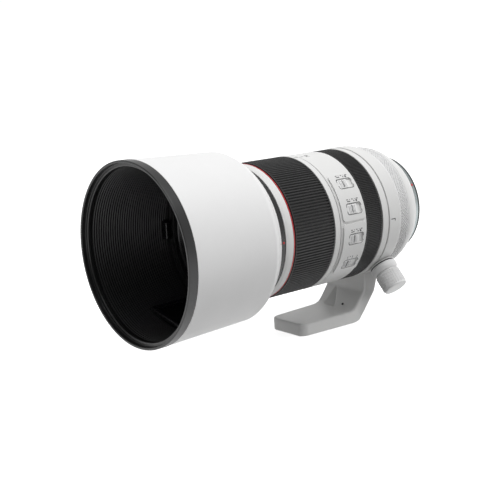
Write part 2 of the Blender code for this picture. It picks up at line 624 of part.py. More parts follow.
def make_rear_barrel():
    spindle_r = CONTROL_REAR_R - CONTROL_WALL
    spindle_front = CONTROL_FRONT + 2 * GAP
    spindle_bore = spindle_r - SPINDLE_WALL
    shoulder = TAIL_FRONT + TAIL_SHOULDER * TAIL_LENGTH
    turned("rear_barrel", [
        (spindle_front, spindle_bore), (spindle_front, spindle_r), (TAIL_FRONT, spindle_r),
        (TAIL_FRONT, CONTROL_REAR_R), (shoulder, CONTROL_REAR_R - TAIL_SHOULDER_STEP),
        (FLANGE_FRONT - GAP, TAIL_REAR_R), (FLANGE_FRONT - GAP, FLANGE_R - TAIL_END_WALL),
        (shoulder, spindle_bore)], "white_paint")
    ring_front, ring_rear = CONTROL_FRONT + CONTROL_SET_BACK, TAIL_FRONT - TURN_GAP
    ring_bore = spindle_r + TURN_GAP
    turned("control_ring", [
        (ring_front, ring_bore), (ring_front, CONTROL_FRONT_R - CONTROL_CHAMFER),
        (ring_front + CONTROL_LEAD, CONTROL_FRONT_R), (ring_rear, CONTROL_REAR_R), (ring_rear, ring_bore)],
        "white_moulded")
    make_mount()


def make_mount():
    spigot_r = MOUNT_LUG_R - LUG_PROUD / 2
    throat_r = MOUNT_LUG_R - SPIGOT_WALL
    spigot_rear = MOUNT_FACE + LUG_LENGTH
    flange = turned("mount_flange", [
        (FLANGE_FRONT, throat_r), (FLANGE_FRONT, FLANGE_R + FLANGE_LIP),
        (FLANGE_FRONT + FLANGE_LIP_LENGTH, FLANGE_R), (MOUNT_FACE - FLANGE_CHAMFER, FLANGE_R),
        (MOUNT_FACE, FLANGE_R - FLANGE_CHAMFER), (MOUNT_FACE, spigot_r), (spigot_rear, spigot_r),
        (spigot_rear, throat_r)], "chrome_mount")
    for k in range(LUG_COUNT):
        turn = LUG_START + 360 / LUG_COUNT * k
        lug = curved_block_mesh(spigot_rear - LUG_THICKNESS, spigot_rear - GAP, turn, turn + LUG_ANGLE,
                                lambda s: spigot_r - GAP, lambda s: spigot_r + LUG_PROUD, 5)
        boolean(flange, "UNION", lug, f"lug_{k + 1}")
    inside_r = throat_r - GAP
    add_object("contact_block", curved_block_mesh(MOUNT_FACE, spigot_rear - 2 * GAP, *CONTACT_SPAN,
               lambda s: inside_r - CONTACT_WALL, lambda s: inside_r, 6), "black_plastic")
    baffle_rear = FLANGE_FRONT + BAFFLE_LENGTH
    turned("rear_baffle", [
        (FLANGE_FRONT, BAFFLE_BORE), (FLANGE_FRONT, inside_r), (baffle_rear, inside_r),
        (baffle_rear, inside_r - CONTACT_WALL), (FLANGE_FRONT + BAFFLE_LENGTH / 3, BAFFLE_BORE)],
        "black_plastic", INNER_SIDES)


# ---- focus ring, optics and drives inside ----
def make_focus_ring():
    front, rear = FOCUS_FRONT + GAP, REAR_RING_FRONT - 2 * GAP
    tube("focus_ring", front, rear, SLEEVE_R, SLEEVE_BORE, "black_plastic")
    tube("focus_grip", front, rear, BARREL_R, SLEEVE_R + GAP, "grip_rubber")


def make_optics():
    rear = make_iris_and_stabiliser()
    make_focus_group(rear)
    front = TAIL_FRONT - REAR_CELL_LEAD
    cell("rear_cell", front, front + REAR_CELL_LENGTH, REAR_GLASS_R + CELL_WALL, REAR_GLASS_R)
    lens_element("rear_element", front + 0.0030, front + 0.0064, REAR_GLASS_R, 0.0014, 0.0008)
    board_front = TAIL_FRONT + BOARD_SET_BACK
    tube("main_board", board_front, board_front + BOARD_THICKNESS, BOARD_R, REAR_GLASS_R + 2 * CELL_WALL,
         "circuit_board", INNER_SIDES)


def make_iris_and_stabiliser():
    """Everything from the iris to the stabiliser. Returns the station of the stabiliser's rear."""
    housing_r = CELL_R - HOUSING_DROP
    drive = IRIS_FRONT + IRIS_LENGTH + GAP
    base = drive + IRIS_DRIVE_LENGTH + 4 * GAP
    frame = base + STABILISER_BASE_LENGTH + TURN_GAP
    carriage = frame + STABILISER_FRAME_LENGTH + TURN_GAP
    rear = carriage + STABILISER_CARRIAGE_LENGTH
    glass_r = STABILISER_GLASS_R
    rings = [
        ("iris_housing", IRIS_FRONT, IRIS_LENGTH, housing_r, IRIS_BORE, "black_anodised"),
        ("iris_drive_ring", drive, IRIS_DRIVE_LENGTH, IRIS_DRIVE_R, IRIS_BORE, "steel"),
        ("stabiliser_base", base, STABILISER_BASE_LENGTH, housing_r, glass_r + CELL_WALL, "black_anodised"),
        ("stabiliser_frame", frame, STABILISER_FRAME_LENGTH, glass_r + STABILISER_FRAME_WALL,
         glass_r + CELL_WALL, "black_plastic"),
        ("stabiliser_carriage", carriage, STABILISER_CARRIAGE_LENGTH, glass_r + STABILISER_CARRIAGE_WALL,
         glass_r + GAP, "black_plastic")]
    for name, front, length, outer, bore, finish in rings:
        tube(name, front, front + length, outer, bore, finish, INNER_SIDES)
    lens_element("stabiliser_element", carriage + 0.0012, carriage + 0.0036, glass_r, 0.0010, 0.0008)
    return rear


def make_focus_group(stabiliser_rear):
    """The focusing cell with the two rods that guide it and the motor that drives it."""
    front = stabiliser_rear + FOCUS_SET_BACK
    cell_r = FOCUS_GLASS_R + CELL_WALL
    cell("focus_cell", front, front + FOCUS_CELL_LENGTH, cell_r, FOCUS_GLASS_R)
    lens_element("focus_element", front + 0.0028, front + 0.0050, FOCUS_GLASS_R, -0.0004, -0.0009)
    rod_front = stabiliser_rear + MOVE_ROOM
    for k, turn in enumerate(ROD_ANGLES):
        stations = rod_front, rod_front + ROD_LENGTH
        ends = [on_cylinder(station, cell_r + ROD_CLEAR, turn) for station in stations]
        add_object(f"guide_rod_{k + 1}", rod_mesh(*ends, ROD_R, 8), "steel")
    motor_front, motor_bore = rod_front + MOVE_ROOM, cell_r + MOTOR_CLEAR
    add_object("focus_motor", curved_block_mesh(motor_front, motor_front + MOTOR_LENGTH, *MOTOR_SPAN,
               lambda s: motor_bore, lambda s: motor_bore + MOTOR_THICKNESS, 3), "black_plastic")


# ---- tripod collar ----
def make_collar():
    """The ring that turns on its seat, with the boss, screw and knob that clamp it."""
    ring = tube("collar_ring", COLLAR_FRONT + GAP, CONTROL_FRONT - GAP, COLLAR_R, COLLAR_BORE, "white_paint")
    turn = radians(KNOB_ANGLE)
    outwards = Vector((0, -cos(turn), sin(turn)))
    centre = Vector((at(KNOB_STATION), 0, AXIS_HEIGHT))
    boss_top = COLLAR_R + BOSS_HEIGHT
    knob_base = boss_top + GAP
    grip_base = knob_base + KNOB_FLANGE_LENGTH

    def rod(low, high, radius, sides):
        return rod_mesh(centre + outwards * low, centre + outwards * high, radius, sides)

    boss_r = COLLAR_LENGTH / 2 - KNOB_SET_BACK - 2 * GAP
    boss = rod(COLLAR_BORE + TUBE_WALL, boss_top, boss_r, KNOB_SIDES)
    boolean(ring, "UNION", boss, "boss")
    hole = rod(COLLAR_BORE - CUT_ROOM, boss_top + CUT_ROOM, SCREW_R + GAP, PIN_SIDES)
    boolean(ring, "DIFFERENCE", hole, "screw_hole")
    seat = centre + outwards * knob_base
    flange = rod(knob_base, grip_base, KNOB_FLANGE_R, KNOB_SIDES)
    knob = add_object("clamp_knob", flange, "white_moulded", origin=seat)
    boolean(knob, "UNION", rod(grip_base - GAP, grip_base + KNOB_LENGTH, KNOB_R, KNOB_SIDES), "grip")
    screw = rod(COLLAR_BORE + GAP, knob_base - GAP, SCREW_R, PIN_SIDES)
    add_object("clamp_screw", screw, "steel", origin=seat)


def foot_side_view():
    """(station, height) outline: flat underneath, a rounded heel, and a neck that rises into the collar."""
    front, rear = COLLAR_FRONT + GAP, CONTROL_FRONT - GAP
    neck_top = AXIS_HEIGHT - NECK_TOP_DROP
    heel = [(HEEL_STATION, 0.0), (HEEL_STATION + 0.0035, 0.0010), (HEEL_STATION + 0.0062, 0.0040)]
    neck = [(rear, NECK_REAR_HEIGHT), (rear, neck_top), (front, neck_top), (front, NECK_FRONT_HEIGHT)]
    instep = [(HEEL_STATION - 0.0010, FOOT_THICKNESS + 0.0018), (HEEL_STATION - 0.0055, FOOT_THICKNESS)]
    return [(FOOT_FRONT, 0.0)] + heel + neck + instep + [(FOOT_FRONT, FOOT_THICKNESS)]


def foot_front_view():
    """(across, height) outline: upright at the foot, then widening into the neck. It runs past both ends."""
    right = [(FOOT_HALF_WIDTH, -CUT_ROOM), (FOOT_HALF_WIDTH, FOOT_WALL_HEIGHT),
             (NECK_HALF_WIDTH, NECK_WIDE_HEIGHT), (NECK_HALF_WIDTH, AXIS_HEIGHT)]
    return right + [(-y, z) for y, z in reversed(right)]


def foot_plan():
    """(station, across) outline: chamfered at the nose, and wide open behind the heel, where the neck is."""
    wide, past, nose = 2 * NECK_HALF_WIDTH, TOTAL_LENGTH, FOOT_FRONT + FOOT_CHAMFER
    near = [(FOOT_FRONT - 0.0001, -FOOT_NOSE_HALF_WIDTH), (nose, FOOT_NOSE_TAPER - FOOT_HALF_WIDTH),
            (HEEL_STATION, -FOOT_HALF_WIDTH - 0.0002), (HEEL_STATION + 0.0001, -wide), (past, -wide)]
    return near + [(s, -y) for s, y in reversed(near)]


def make_foot():
    wide = 2 * NECK_HALF_WIDTH
    side = prism_mesh(foot_side_view(), lambda s, z, y: (at(s), y, z), -wide, wide)
    front = prism_mesh(foot_front_view(), lambda y, z, s: (at(s), y, z), HOOD_LENGTH, TOTAL_LENGTH)
    plan = prism_mesh(foot_plan(), lambda s, y, z: (at(s), y, z), -CUT_ROOM, AXIS_HEIGHT)
    foot = add_object("collar_foot", side, "white_paint")
    boolean(foot, "INTERSECT", front, "front_view")
    boolean(foot, "INTERSECT", plan, "plan")
    saddle_r = COLLAR_R + GAP
    ends = COLLAR_FRONT - COLLAR_LENGTH, CONTROL_FRONT + COLLAR_LENGTH
    saddle = [(ends[0], 0.0), (ends[0], saddle_r), (ends[1], saddle_r), (ends[1], 0.0)]
    boolean(foot, "DIFFERENCE", turned_mesh(saddle, OUTER_SIDES, False), "saddle")
    middle = Vector((at((FOOT_FRONT + HEEL_STATION) / 2), 0, 0))

    def rod(low, high, radius):
        return rod_mesh(middle + Vector((0, 0, low)), middle + Vector((0, 0, high)), radius, SMALL_SIDES)

    boolean(foot, "DIFFERENCE", rod(-CUT_ROOM, BUSH_LENGTH + GAP, BUSH_R + GAP), "bush_hole")
    bush = add_object("tripod_bush", rod(0, BUSH_LENGTH, BUSH_R), "steel")
    boolean(bush, "DIFFERENCE", rod(-CUT_ROOM, THREAD_DEPTH, THREAD_R), "thread_hole")


def main():
    clear_scene()
    FINISH.update(finishes())
    make_hood()
    make_front_group()
    make_zoom()
    make_fixed_barrel()
    make_rear_barrel()
    make_focus_ring()
    make_optics()
    make_collar()
    make_foot()


main()
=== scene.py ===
"""A white telephoto zoom lens with a deep hood and a tripod collar: its looks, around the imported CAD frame.

Sizes in this file are millimetres unless a name says otherwise. X runs along the lens from the hood's mouth to the
camera mount. Angles are degrees round the lens from its near side (-Y), upwards positive.
"""

import json

import bpy
import numpy as np
from bpy.props import FloatProperty, IntProperty, PointerProperty, StringProperty
from mathutils import Matrix, Vector


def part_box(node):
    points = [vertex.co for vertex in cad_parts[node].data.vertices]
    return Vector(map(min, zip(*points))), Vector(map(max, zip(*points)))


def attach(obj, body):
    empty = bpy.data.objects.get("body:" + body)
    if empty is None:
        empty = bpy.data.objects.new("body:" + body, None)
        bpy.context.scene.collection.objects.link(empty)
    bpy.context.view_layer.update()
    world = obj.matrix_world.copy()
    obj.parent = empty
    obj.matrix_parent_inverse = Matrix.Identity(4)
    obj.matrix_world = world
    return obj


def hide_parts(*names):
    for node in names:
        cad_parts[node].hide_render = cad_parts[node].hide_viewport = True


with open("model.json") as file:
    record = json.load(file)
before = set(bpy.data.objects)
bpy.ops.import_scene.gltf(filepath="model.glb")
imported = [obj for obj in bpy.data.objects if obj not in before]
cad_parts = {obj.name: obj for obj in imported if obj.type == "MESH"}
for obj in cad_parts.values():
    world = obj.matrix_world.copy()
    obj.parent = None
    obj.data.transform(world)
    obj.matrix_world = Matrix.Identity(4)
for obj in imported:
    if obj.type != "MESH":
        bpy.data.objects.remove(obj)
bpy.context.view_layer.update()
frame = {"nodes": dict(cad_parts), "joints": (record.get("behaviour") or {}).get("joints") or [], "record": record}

bl_info = {
    "name": "Telephoto Lens Looks",
    "version": (1, 0, 0),
    "blender": (4, 5, 0),
    "location": "View3D > Sidebar > Lens",
    "description": "Builds the visible surfaces and finishes of a telephoto zoom lens round its CAD frame",
    "category": "Object",
}

MM = 0.001


def reach(node):
    """Front X, rear X and outer radius of a round CAD node."""
    low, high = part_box(node)
    return low.x / MM, high.x / MM, (high.y - low.y) / 2 / MM


AXIS_Z = (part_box("zoom_grip")[0].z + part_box("zoom_grip")[1].z) / 2 / MM
BARREL_R = reach("zoom_grip")[2]
# Each frame is an origin, the direction that a profile runs along, and the directions of its angles 0 and 90.
LENS_FRAME = np.array([(0, 0, AXIS_Z), (1, 0, 0), (0, -1, 0), (0, 0, 1)], float)


# ---- shapes ----
def swing(frame_of, along, radius, angle):
    """Points at a distance along a frame's axis, a radius from it and an angle round it, in radians."""
    origin, axis, zero, ninety = frame_of
    along, radius, angle = np.broadcast_arrays(along, radius, angle)
    round_part = np.cos(angle)[..., None] * zero + np.sin(angle)[..., None] * ninety
    return origin + along[..., None] * axis + radius[..., None] * round_part


def outwards(points, quads, tris):
    """The same faces, turned round if the volume that they enclose comes out negative (sum of a.(b x c)/6)."""
    both = np.concatenate([quads[:, :3], quads[:, [0, 2, 3]], tris])
    a, b, c = points[both[:, 0]], points[both[:, 1]], points[both[:, 2]]
    if np.einsum("ij,ij->", a - points[0], np.cross(b - points[0], c - points[0])) < 0:
        return points, quads[:, ::-1], tris[:, ::-1]
    return points, quads, tris


def skin(rows, loop=False):
    """A closed part from points[m, n]: each row is a ring, joined to the next. The last row joins the first if loop
    is true, and otherwise each end is a fan to the middle of its row."""
    m, n = rows.shape[:2]
    index = np.arange(m * n).reshape(m, n)
    ahead = np.roll(index, -1, 0) if loop else index[1:]
    here = index if loop else index[:-1]
    quads = np.stack([here, np.roll(here, -1, 1), np.roll(ahead, -1, 1), ahead], -1).reshape(-1, 4)
    points = rows.reshape(-1, 3)
    tris = np.zeros((0, 3), int)
    if not loop:
        points = np.vstack([points, rows[0].mean(0), rows[-1].mean(0)])
        first = np.stack([np.roll(index[0], -1), index[0], np.full(n, m * n)], -1)
        last = np.stack([index[-1], np.roll(index[-1], -1), np.full(n, m * n + 1)], -1)
        tris = np.vstack([first, last])
    return outwards(points, quads, tris)


def rounded(profile, cut, steps=4):
    """A closed outline whose corners are quadratic curves, from cut before each corner to cut after it. A support
    point beside each curve keeps the flats' shading flat."""
    corner = np.asarray(profile, float)
    back, on = np.roll(corner, 1, 0) - corner, np.roll(corner, -1, 0) - corner
    long_back, long_on = np.linalg.norm(back, axis=1), np.linalg.norm(on, axis=1)
    cut = np.minimum(cut, 0.26 * np.minimum(long_back, long_on))[:, None]
    start, end = corner + back / long_back[:, None] * cut, corner + on / long_on[:, None] * cut
    s = np.linspace(0, 1, steps)[None, :, None]
    curve = (1 - s) ** 2 * start[:, None] + 2 * s * (1 - s) * corner[:, None] + s ** 2 * end[:, None]
    before = corner + back / long_back[:, None] * cut * 1.8
    after = corner + on / long_on[:, None] * cut * 1.8
    return np.concatenate([before[:, None], curve, after[:, None]], 1).reshape(-1, 2)


def turned(profile, sides=192, relief=None, frame_of=LENS_FRAME, loop=True):
    """The (along, radius) outline spun about a frame's axis. relief(along, radius, angle) is added to the radius."""
    angle = np.linspace(0, 2 * np.pi, sides, endpoint=False)[None]
    along, radius = np.asarray(profile, float).T[:, :, None]
    grown = radius + (relief(along, radius, angle) if relief else 0)
    return skin(swing(frame_of, along, grown, angle), loop)


def split_runs(profile, longest):
    """The closed outline with points added so that no run is longer than longest."""
    profile = np.asarray(profile, float)
    ahead = np.roll(profile, -1, 0)
    count = np.maximum(1, np.ceil(np.linalg.norm(ahead - profile, axis=1) / longest)).astype(int)
    which = np.repeat(np.arange(len(profile)), count)
    part = (np.arange(len(which)) - np.repeat(np.cumsum(count) - count, count)) / count[which]
    return profile[which] + (ahead - profile)[which] * part[:, None]


def box_distance(u, v, half_u, half_v, corner):
    """Signed distance from a rectangle with rounded corners, and the direction in which it grows."""
    qu, qv = np.abs(u) - half_u + corner, np.abs(v) - half_v + corner
    out_u, out_v = np.maximum(qu, 0), np.maximum(qv, 0)
    far = np.hypot(out_u, out_v)
    distance = far + np.minimum(np.maximum(qu, qv), 0) - corner
    round_corner = far > 1e-9
    step_u = np.where(round_corner, out_u / np.maximum(far, 1e-9), qu >= qv) * np.where(u < 0, -1, 1)
    step_v = np.where(round_corner, out_v / np.maximum(far, 1e-9), qu < qv) * np.where(v < 0, -1, 1)
    return distance, step_u, step_v


def wall(x_lines, degree_lines, outer, inner, windows=(), outline=None):
    """A curved wall between the radii outer(x, a) and inner(x, a), on a grid of x and angle. Cells inside a window,
    or outside the outline, are left out, and the grid's points along such an edge are drawn onto it. A window or
    outline is (middle x, middle degrees, half length, half width round the lens, corner radius)."""
    x, a = (grid.copy() for grid in np.meshgrid(x_lines, np.radians(degree_lines), indexing="ij"))
    around = abs(degree_lines[-1] - degree_lines[0]) > 350
    middle_r = float(np.mean(outer(x, a)))
    next_a = (lambda g: np.roll(g, -1, 1)) if around else (lambda g: g[:, 1:])
    here_a = (lambda g: g) if around else (lambda g: g[:, :-1])
    keep = np.ones(here_a(x[:-1]).shape, bool)
    for shape, sign in [(w, 1) for w in windows] + ([(outline, -1)] if outline else []):
        mid_x, mid_deg, half_x, half_round, corner = shape

        def measure(gx, ga):
            turn = (ga - np.radians(mid_deg) + np.pi) % (2 * np.pi) - np.pi
            return box_distance(gx - mid_x, turn * middle_r, half_x, half_round, corner)

        step = (a[0, 1] - a[0, 0]) / 2
        inside = measure((here_a(x[:-1]) + here_a(x[1:])) / 2, here_a(a[:-1]) + step)[0] * sign > 0
        keep &= inside
        padded = np.pad(inside, ((1, 1), (0, 0)), mode="edge")
        if around:
            corners = [padded[:-1], padded[1:], np.roll(padded, 1, 1)[:-1], np.roll(padded, 1, 1)[1:]]
        else:
            padded = np.pad(padded, ((0, 0), (1, 1)), mode="edge")
            corners = [padded[:-1, :-1], padded[1:, :-1], padded[:-1, 1:], padded[1:, 1:]]
        edge = np.any(corners, 0) & ~np.all(corners, 0)
        distance, step_x, step_v = measure(x, a)
        x -= np.where(edge, distance * step_x, 0)
        a -= np.where(edge, distance * step_v / middle_r, 0)
    index = np.arange(x.size).reshape(x.shape)
    cell = np.stack([here_a(index[:-1]), here_a(index[1:]), next_a(index)[1:], next_a(index)[:-1]], -1)
    total = x.size
    quads = [cell[keep], (cell[keep] + total)[:, ::-1]]
    room = np.pad(keep, 1)
    if around:
        room[1:-1, 0], room[1:-1, -1] = keep[:, -1], keep[:, 0]
    sides = [(room[1:-1, :-2], 0, 1), (room[2:, 1:-1], 1, 2), (room[1:-1, 2:], 2, 3), (room[:-2, 1:-1], 3, 0)]
    for beside, p, q in sides:
        rim = cell[keep & ~beside]
        quads.append(np.stack([rim[:, q], rim[:, p], rim[:, p] + total, rim[:, q] + total], -1))
    quads = np.vstack(quads)
    points = np.vstack([swing(LENS_FRAME, x, outer(x, a), a).reshape(-1, 3),
                        swing(LENS_FRAME, x, inner(x, a), a).reshape(-1, 3)])
    used, renumbered = np.unique(quads, return_inverse=True)
    return outwards(points[used], renumbered.reshape(-1, 4), np.zeros((0, 3), int))


def ring_of(half_u, half_v, corner, steps=6):
    """A rectangle with rounded corners as points[4 * steps, 2], anticlockwise."""
    turn = np.linspace(0, np.pi / 2, steps)[None] + np.arange(4)[:, None] * np.pi / 2
    side_u, side_v = np.array([1, -1, -1, 1])[:, None], np.array([1, 1, -1, -1])[:, None]
    u = side_u * (half_u - corner) + corner * np.cos(turn)
    v = side_v * (half_v - corner) + corner * np.sin(turn)
    return np.stack([u, v], -1).reshape(-1, 2)


def slab(place, half_u, half_v, corner, height, edge=0.2, sink=0.1, shift=(0, 0), steps=6):
    """A low block with rounded corners and a rounded top edge, laid by place(u, v, h). Rings shrink by
    edge(1 - cos t) while they rise by edge sin t."""
    turn = np.linspace(0, np.pi / 2, 4)
    inset = np.concatenate([[0], edge * (1 - np.cos(turn)), [edge * 1.8]])
    level = np.concatenate([[-sink], height - edge + edge * np.sin(turn), [height]])
    rows = [place(*(ring_of(half_u - i, half_v - i, max(corner - i, 0.02), steps).T + np.array(shift)[:, None]), h)
            for i, h in zip(inset, level)]
    return skin(np.array(rows))


def on_barrel(mid_x, degrees_round, radius=BARREL_R, turn=0.0, side=1):
    """place(u, v, h) for shapes laid round the barrel: u along the lens and v round it, both turned by turn degrees.
    The radius may be a function of x. Height grows outwards, or inwards when side is -1."""
    c, s = np.cos(np.radians(turn)), np.sin(np.radians(turn))

    def place(u, v, h):
        along, across = u * c - v * s, u * s + v * c
        here = radius(mid_x + along) if callable(radius) else radius
        return swing(LENS_FRAME, mid_x + along, here + side * h, np.radians(degrees_round) + across / here)

    return place


def outline_strip(place, half_u, half_v, corner, width, height):
    """A thin grey frame round a window, partly print and partly painted shade of the window's edge: the rounded
    rectangle's ring, and the same ring grown by width, joined above and below.
    """
    inner, outer = ring_of(half_u, half_v, corner), ring_of(half_u + width, half_v + width, corner + width)
    rows = [place(*inner.T, 0.0), place(*inner.T, height), place(*outer.T, height), place(*outer.T, 0.0)]
    return skin(np.array(rows), loop=True)


def lettering(text, size, place, thickness=0.04):
    """Numerals as a thin solid laid by place(u, v, h)."""
    curve = bpy.data.curves.new("numeral", "FONT")
    curve.body, curve.size, curve.extrude = text, size, thickness / 2
    curve.align_x, curve.align_y, curve.resolution_u = "CENTER", "CENTER", 4
    helper = bpy.data.objects.new("numeral", curve)
    bpy.context.collection.objects.link(helper)
    mesh = bpy.data.meshes.new_from_object(helper.evaluated_get(bpy.context.evaluated_depsgraph_get()))
    mesh.calc_loop_triangles()
    flat = np.empty(len(mesh.vertices) * 3)
    tris = np.empty(len(mesh.loop_triangles) * 3, int)
    mesh.vertices.foreach_get("co", flat)
    mesh.loop_triangles.foreach_get("vertices", tris)
    bpy.data.objects.remove(helper)
    bpy.data.curves.remove(curve)
    bpy.data.meshes.remove(mesh)
    flat, tris = flat.reshape(-1, 3), tris.reshape(-1, 3)
    _, first, merged = np.unique(np.round(flat, 5), axis=0, return_index=True, return_inverse=True)
    points = place(*flat[first].T)
    return outwards(points, np.zeros((0, 4), int), merged.reshape(-1)[tris])


def piece(name, parts, body, finish, replaces=(), sharp=38, bevel=0.0):
    """One object from closed parts in millimetres, shaded smooth apart from edges sharper than sharp degrees."""
    parts = [parts] if isinstance(parts, tuple) else parts
    starts = np.cumsum([0] + [len(points) for points, _, _ in parts])
    points = np.vstack([part[0] for part in parts]) * MM
    quads = np.vstack([part[1] + start for part, start in zip(parts, starts)])
    tris = np.vstack([part[2] + start for part, start in zip(parts, starts)])
    mesh = bpy.data.meshes.new(name)
    mesh.vertices.add(len(points))
    mesh.vertices.foreach_set("co", points.ravel())
    mesh.loops.add(quads.size + tris.size)
    mesh.loops.foreach_set("vertex_index", np.concatenate([quads.ravel(), tris.ravel()]).astype(np.int32))
    mesh.polygons.add(len(quads) + len(tris))
    loop_start = np.concatenate([np.arange(len(quads)) * 4, quads.size + np.arange(len(tris)) * 3])
    mesh.polygons.foreach_set("loop_start", loop_start.astype(np.int32))
    mesh.update(calc_edges=True)
    if mesh.validate():
        raise RuntimeError(f"{name} has faces that Blender had to mend")
    mesh.shade_smooth()
    mesh.set_sharp_from_angle(angle=np.radians(sharp))
    mesh.materials.append(finish)
    obj = bpy.data.objects.new(name, mesh)
    bpy.context.collection.objects.link(obj)
    if bevel:
        modifier = obj.modifiers.new("soft_edges", "BEVEL")
        modifier.width, modifier.segments = bevel * MM, 2
        modifier.limit_method, modifier.angle_limit = "ANGLE", np.radians(50)
    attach(obj, body)
    if replaces:
        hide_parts(*([replaces] if isinstance(replaces, str) else replaces))
    return obj


# ---- materials ----
def linear(code, alpha=1.0):
    """An sRGB hex colour as linear RGBA."""
    values = np.array([int(code[k:k + 2], 16) for k in (1, 3, 5)]) / 255
    values = np.where(values <= 0.04045, values / 12.92, ((values + 0.055) / 1.055) ** 2.4)
    return (*values, alpha)


def add(material, kind, settings=(), **sockets):
    """One node, with its settings and its sockets set or linked. A socket's name has _ for a space."""
    node = material.node_tree.nodes.new(kind)
    for key, value in dict(settings).items():
        setattr(node, key, value)
    for key, value in sockets.items():
        socket = node.inputs[int(key[1:]) if key[0] == "n" and key[1:].isdigit() else key.replace("_", " ")]
        if isinstance(value, bpy.types.NodeSocket):
            material.node_tree.links.new(value, socket)
        else:
            socket.default_value = value
    return node


MADE = {}


def coat(name, colour, shade, rough, rough_to, grain_mm, grain_height_mm, cloud_mm=14.0, bump=1.0, **shader):
    """A finish with a slow drift between two colours, and a fine grain in its height and roughness. The grain's
    scale is one over its size in metres, because Object coordinates are metres."""
    if name in MADE:
        return MADE[name]
    made = bpy.data.materials.new(name)
    made.use_nodes = True
    made.node_tree.nodes.clear()
    where = add(made, "ShaderNodeTexCoord").outputs["Object"]
    cloud = add(made, "ShaderNodeTexNoise", Vector=where, Scale=1000 / cloud_mm, Detail=4.0, Roughness=0.6)
    grain = add(made, "ShaderNodeTexNoise", Vector=where, Scale=1000 / grain_mm, Detail=2.0, Roughness=0.55)
    tone = add(made, "ShaderNodeMix", {"data_type": "RGBA"}, Factor=cloud.outputs["Fac"], n6=linear(colour),
               n7=linear(shade))
    both = add(made, "ShaderNodeMath", {"operation": "MULTIPLY_ADD"}, n0=grain.outputs["Fac"], n1=0.5,
               n2=add(made, "ShaderNodeMath", {"operation": "MULTIPLY"}, n0=cloud.outputs["Fac"], n1=0.5).outputs[0])
    gloss = add(made, "ShaderNodeMapRange", Value=both.outputs[0], From_Min=0.3, From_Max=0.7, To_Min=rough,
                To_Max=rough_to)
    relief = add(made, "ShaderNodeBump", Height=grain.outputs["Fac"], Strength=bump,
                 Distance=grain_height_mm * MM)
    surface = add(made, "ShaderNodeBsdfPrincipled", Base_Color=tone.outputs[2], Roughness=gloss.outputs[0],
                  Normal=relief.outputs[0], **shader)
    add(made, "ShaderNodeOutputMaterial", Surface=surface.outputs[0])
    MADE[name] = made
    return made


def lathe_turned(name, colour, shade, rough, rough_to, pitch_mm, height_mm, **shader):
    """Metal with fine rings round the lens's axis: a wave of the distance from the axis and the place along it."""
    if name in MADE:
        return MADE[name]
    made = bpy.data.materials.new(name)
    made.use_nodes = True
    made.node_tree.nodes.clear()
    where = add(made, "ShaderNodeTexCoord").outputs["Object"]
    centred = add(made, "ShaderNodeMapping", Vector=where, Location=(0, 0, -AXIS_Z * MM))
    parts = add(made, "ShaderNodeSeparateXYZ", Vector=centred.outputs[0])
    off_axis = add(made, "ShaderNodeCombineXYZ", Y=parts.outputs["Y"], Z=parts.outputs["Z"])
    radius = add(made, "ShaderNodeVectorMath", {"operation": "LENGTH"}, n0=off_axis.outputs[0])
    run = add(made, "ShaderNodeMath", {"operation": "ADD"}, n0=radius.outputs["Value"], n1=parts.outputs["X"])
    rings = add(made, "ShaderNodeTexNoise", {"noise_dimensions": "1D"}, W=run.outputs[0], Scale=1000 / pitch_mm,
                Detail=3.0)
    smear = add(made, "ShaderNodeTexNoise", Vector=where, Scale=1000 / 9.0, Detail=3.0)
    tone = add(made, "ShaderNodeMix", {"data_type": "RGBA"}, Factor=smear.outputs["Fac"], n6=linear(colour),
               n7=linear(shade))
    gloss = add(made, "ShaderNodeMapRange", Value=rings.outputs["Fac"], From_Min=0.3, From_Max=0.7, To_Min=rough,
                To_Max=rough_to)
    relief = add(made, "ShaderNodeBump", Height=rings.outputs["Fac"], Strength=0.6, Distance=height_mm * MM)
    surface = add(made, "ShaderNodeBsdfPrincipled", Base_Color=tone.outputs[2], Roughness=gloss.outputs[0],
                  Normal=relief.outputs[0], **shader)
    add(made, "ShaderNodeOutputMaterial", Surface=surface.outputs[0])
    MADE[name] = made
    return made


def baked_enamel():
    """Heat-reflecting enamel baked on magnesium: sprayed fine and satin, so the light drops off softly over it."""
    look = bpy.context.scene.lens_finish
    return coat("baked_white_enamel", look.enamel, look.enamel_shade, 0.36, 0.50, 0.35, 0.012, IOR=1.5)


def moulded_abs():
    """ABS moulded in a spark-finished tool: the hood is whiter and smoother than the barrel, with a faint ripple."""
    look = bpy.context.scene.lens_finish
    return coat("moulded_white_abs", look.hood, look.hood_shade, 0.34, 0.46, 0.6, 0.010, cloud_mm=22.0, IOR=1.53)


def grip_rubber():
    """Moulded nitrile rubber: matt, with a dry bloom that lifts the lit ribs to a dark grey."""
    look = bpy.context.scene.lens_finish
    return coat("moulded_grip_rubber", look.rubber, look.rubber_shade, 0.50, 0.66, 0.22, 0.020, cloud_mm=7.0,
                IOR=1.52, Sheen_Weight=0.10, Sheen_Roughness=0.5)


def rim_rubber():
    """Bumper rubber, moulded smoother than the grips, so it keeps a soft highlight."""
    return coat("moulded_bumper_rubber", "#0E0E0F", "#0A0A0B", 0.30, 0.42, 0.30, 0.012, cloud_mm=9.0, IOR=1.52)


def seal_rubber():
    """Silicone seal round the mount: dark grey-green and soft-looking."""
    return coat("moulded_silicone_seal", "#343B3A", "#2A302F", 0.45, 0.6, 0.3, 0.01, cloud_mm=5.0, IOR=1.45)


def flat_black():
    """Polycarbonate with a matt, light-trapping paint inside the hood: nearly black, with dusty grain."""
    return coat("matt_black_inside_paint", "#101011", "#0A0A0A", 0.42, 0.6, 0.18, 0.015, cloud_mm=11.0, IOR=1.45)


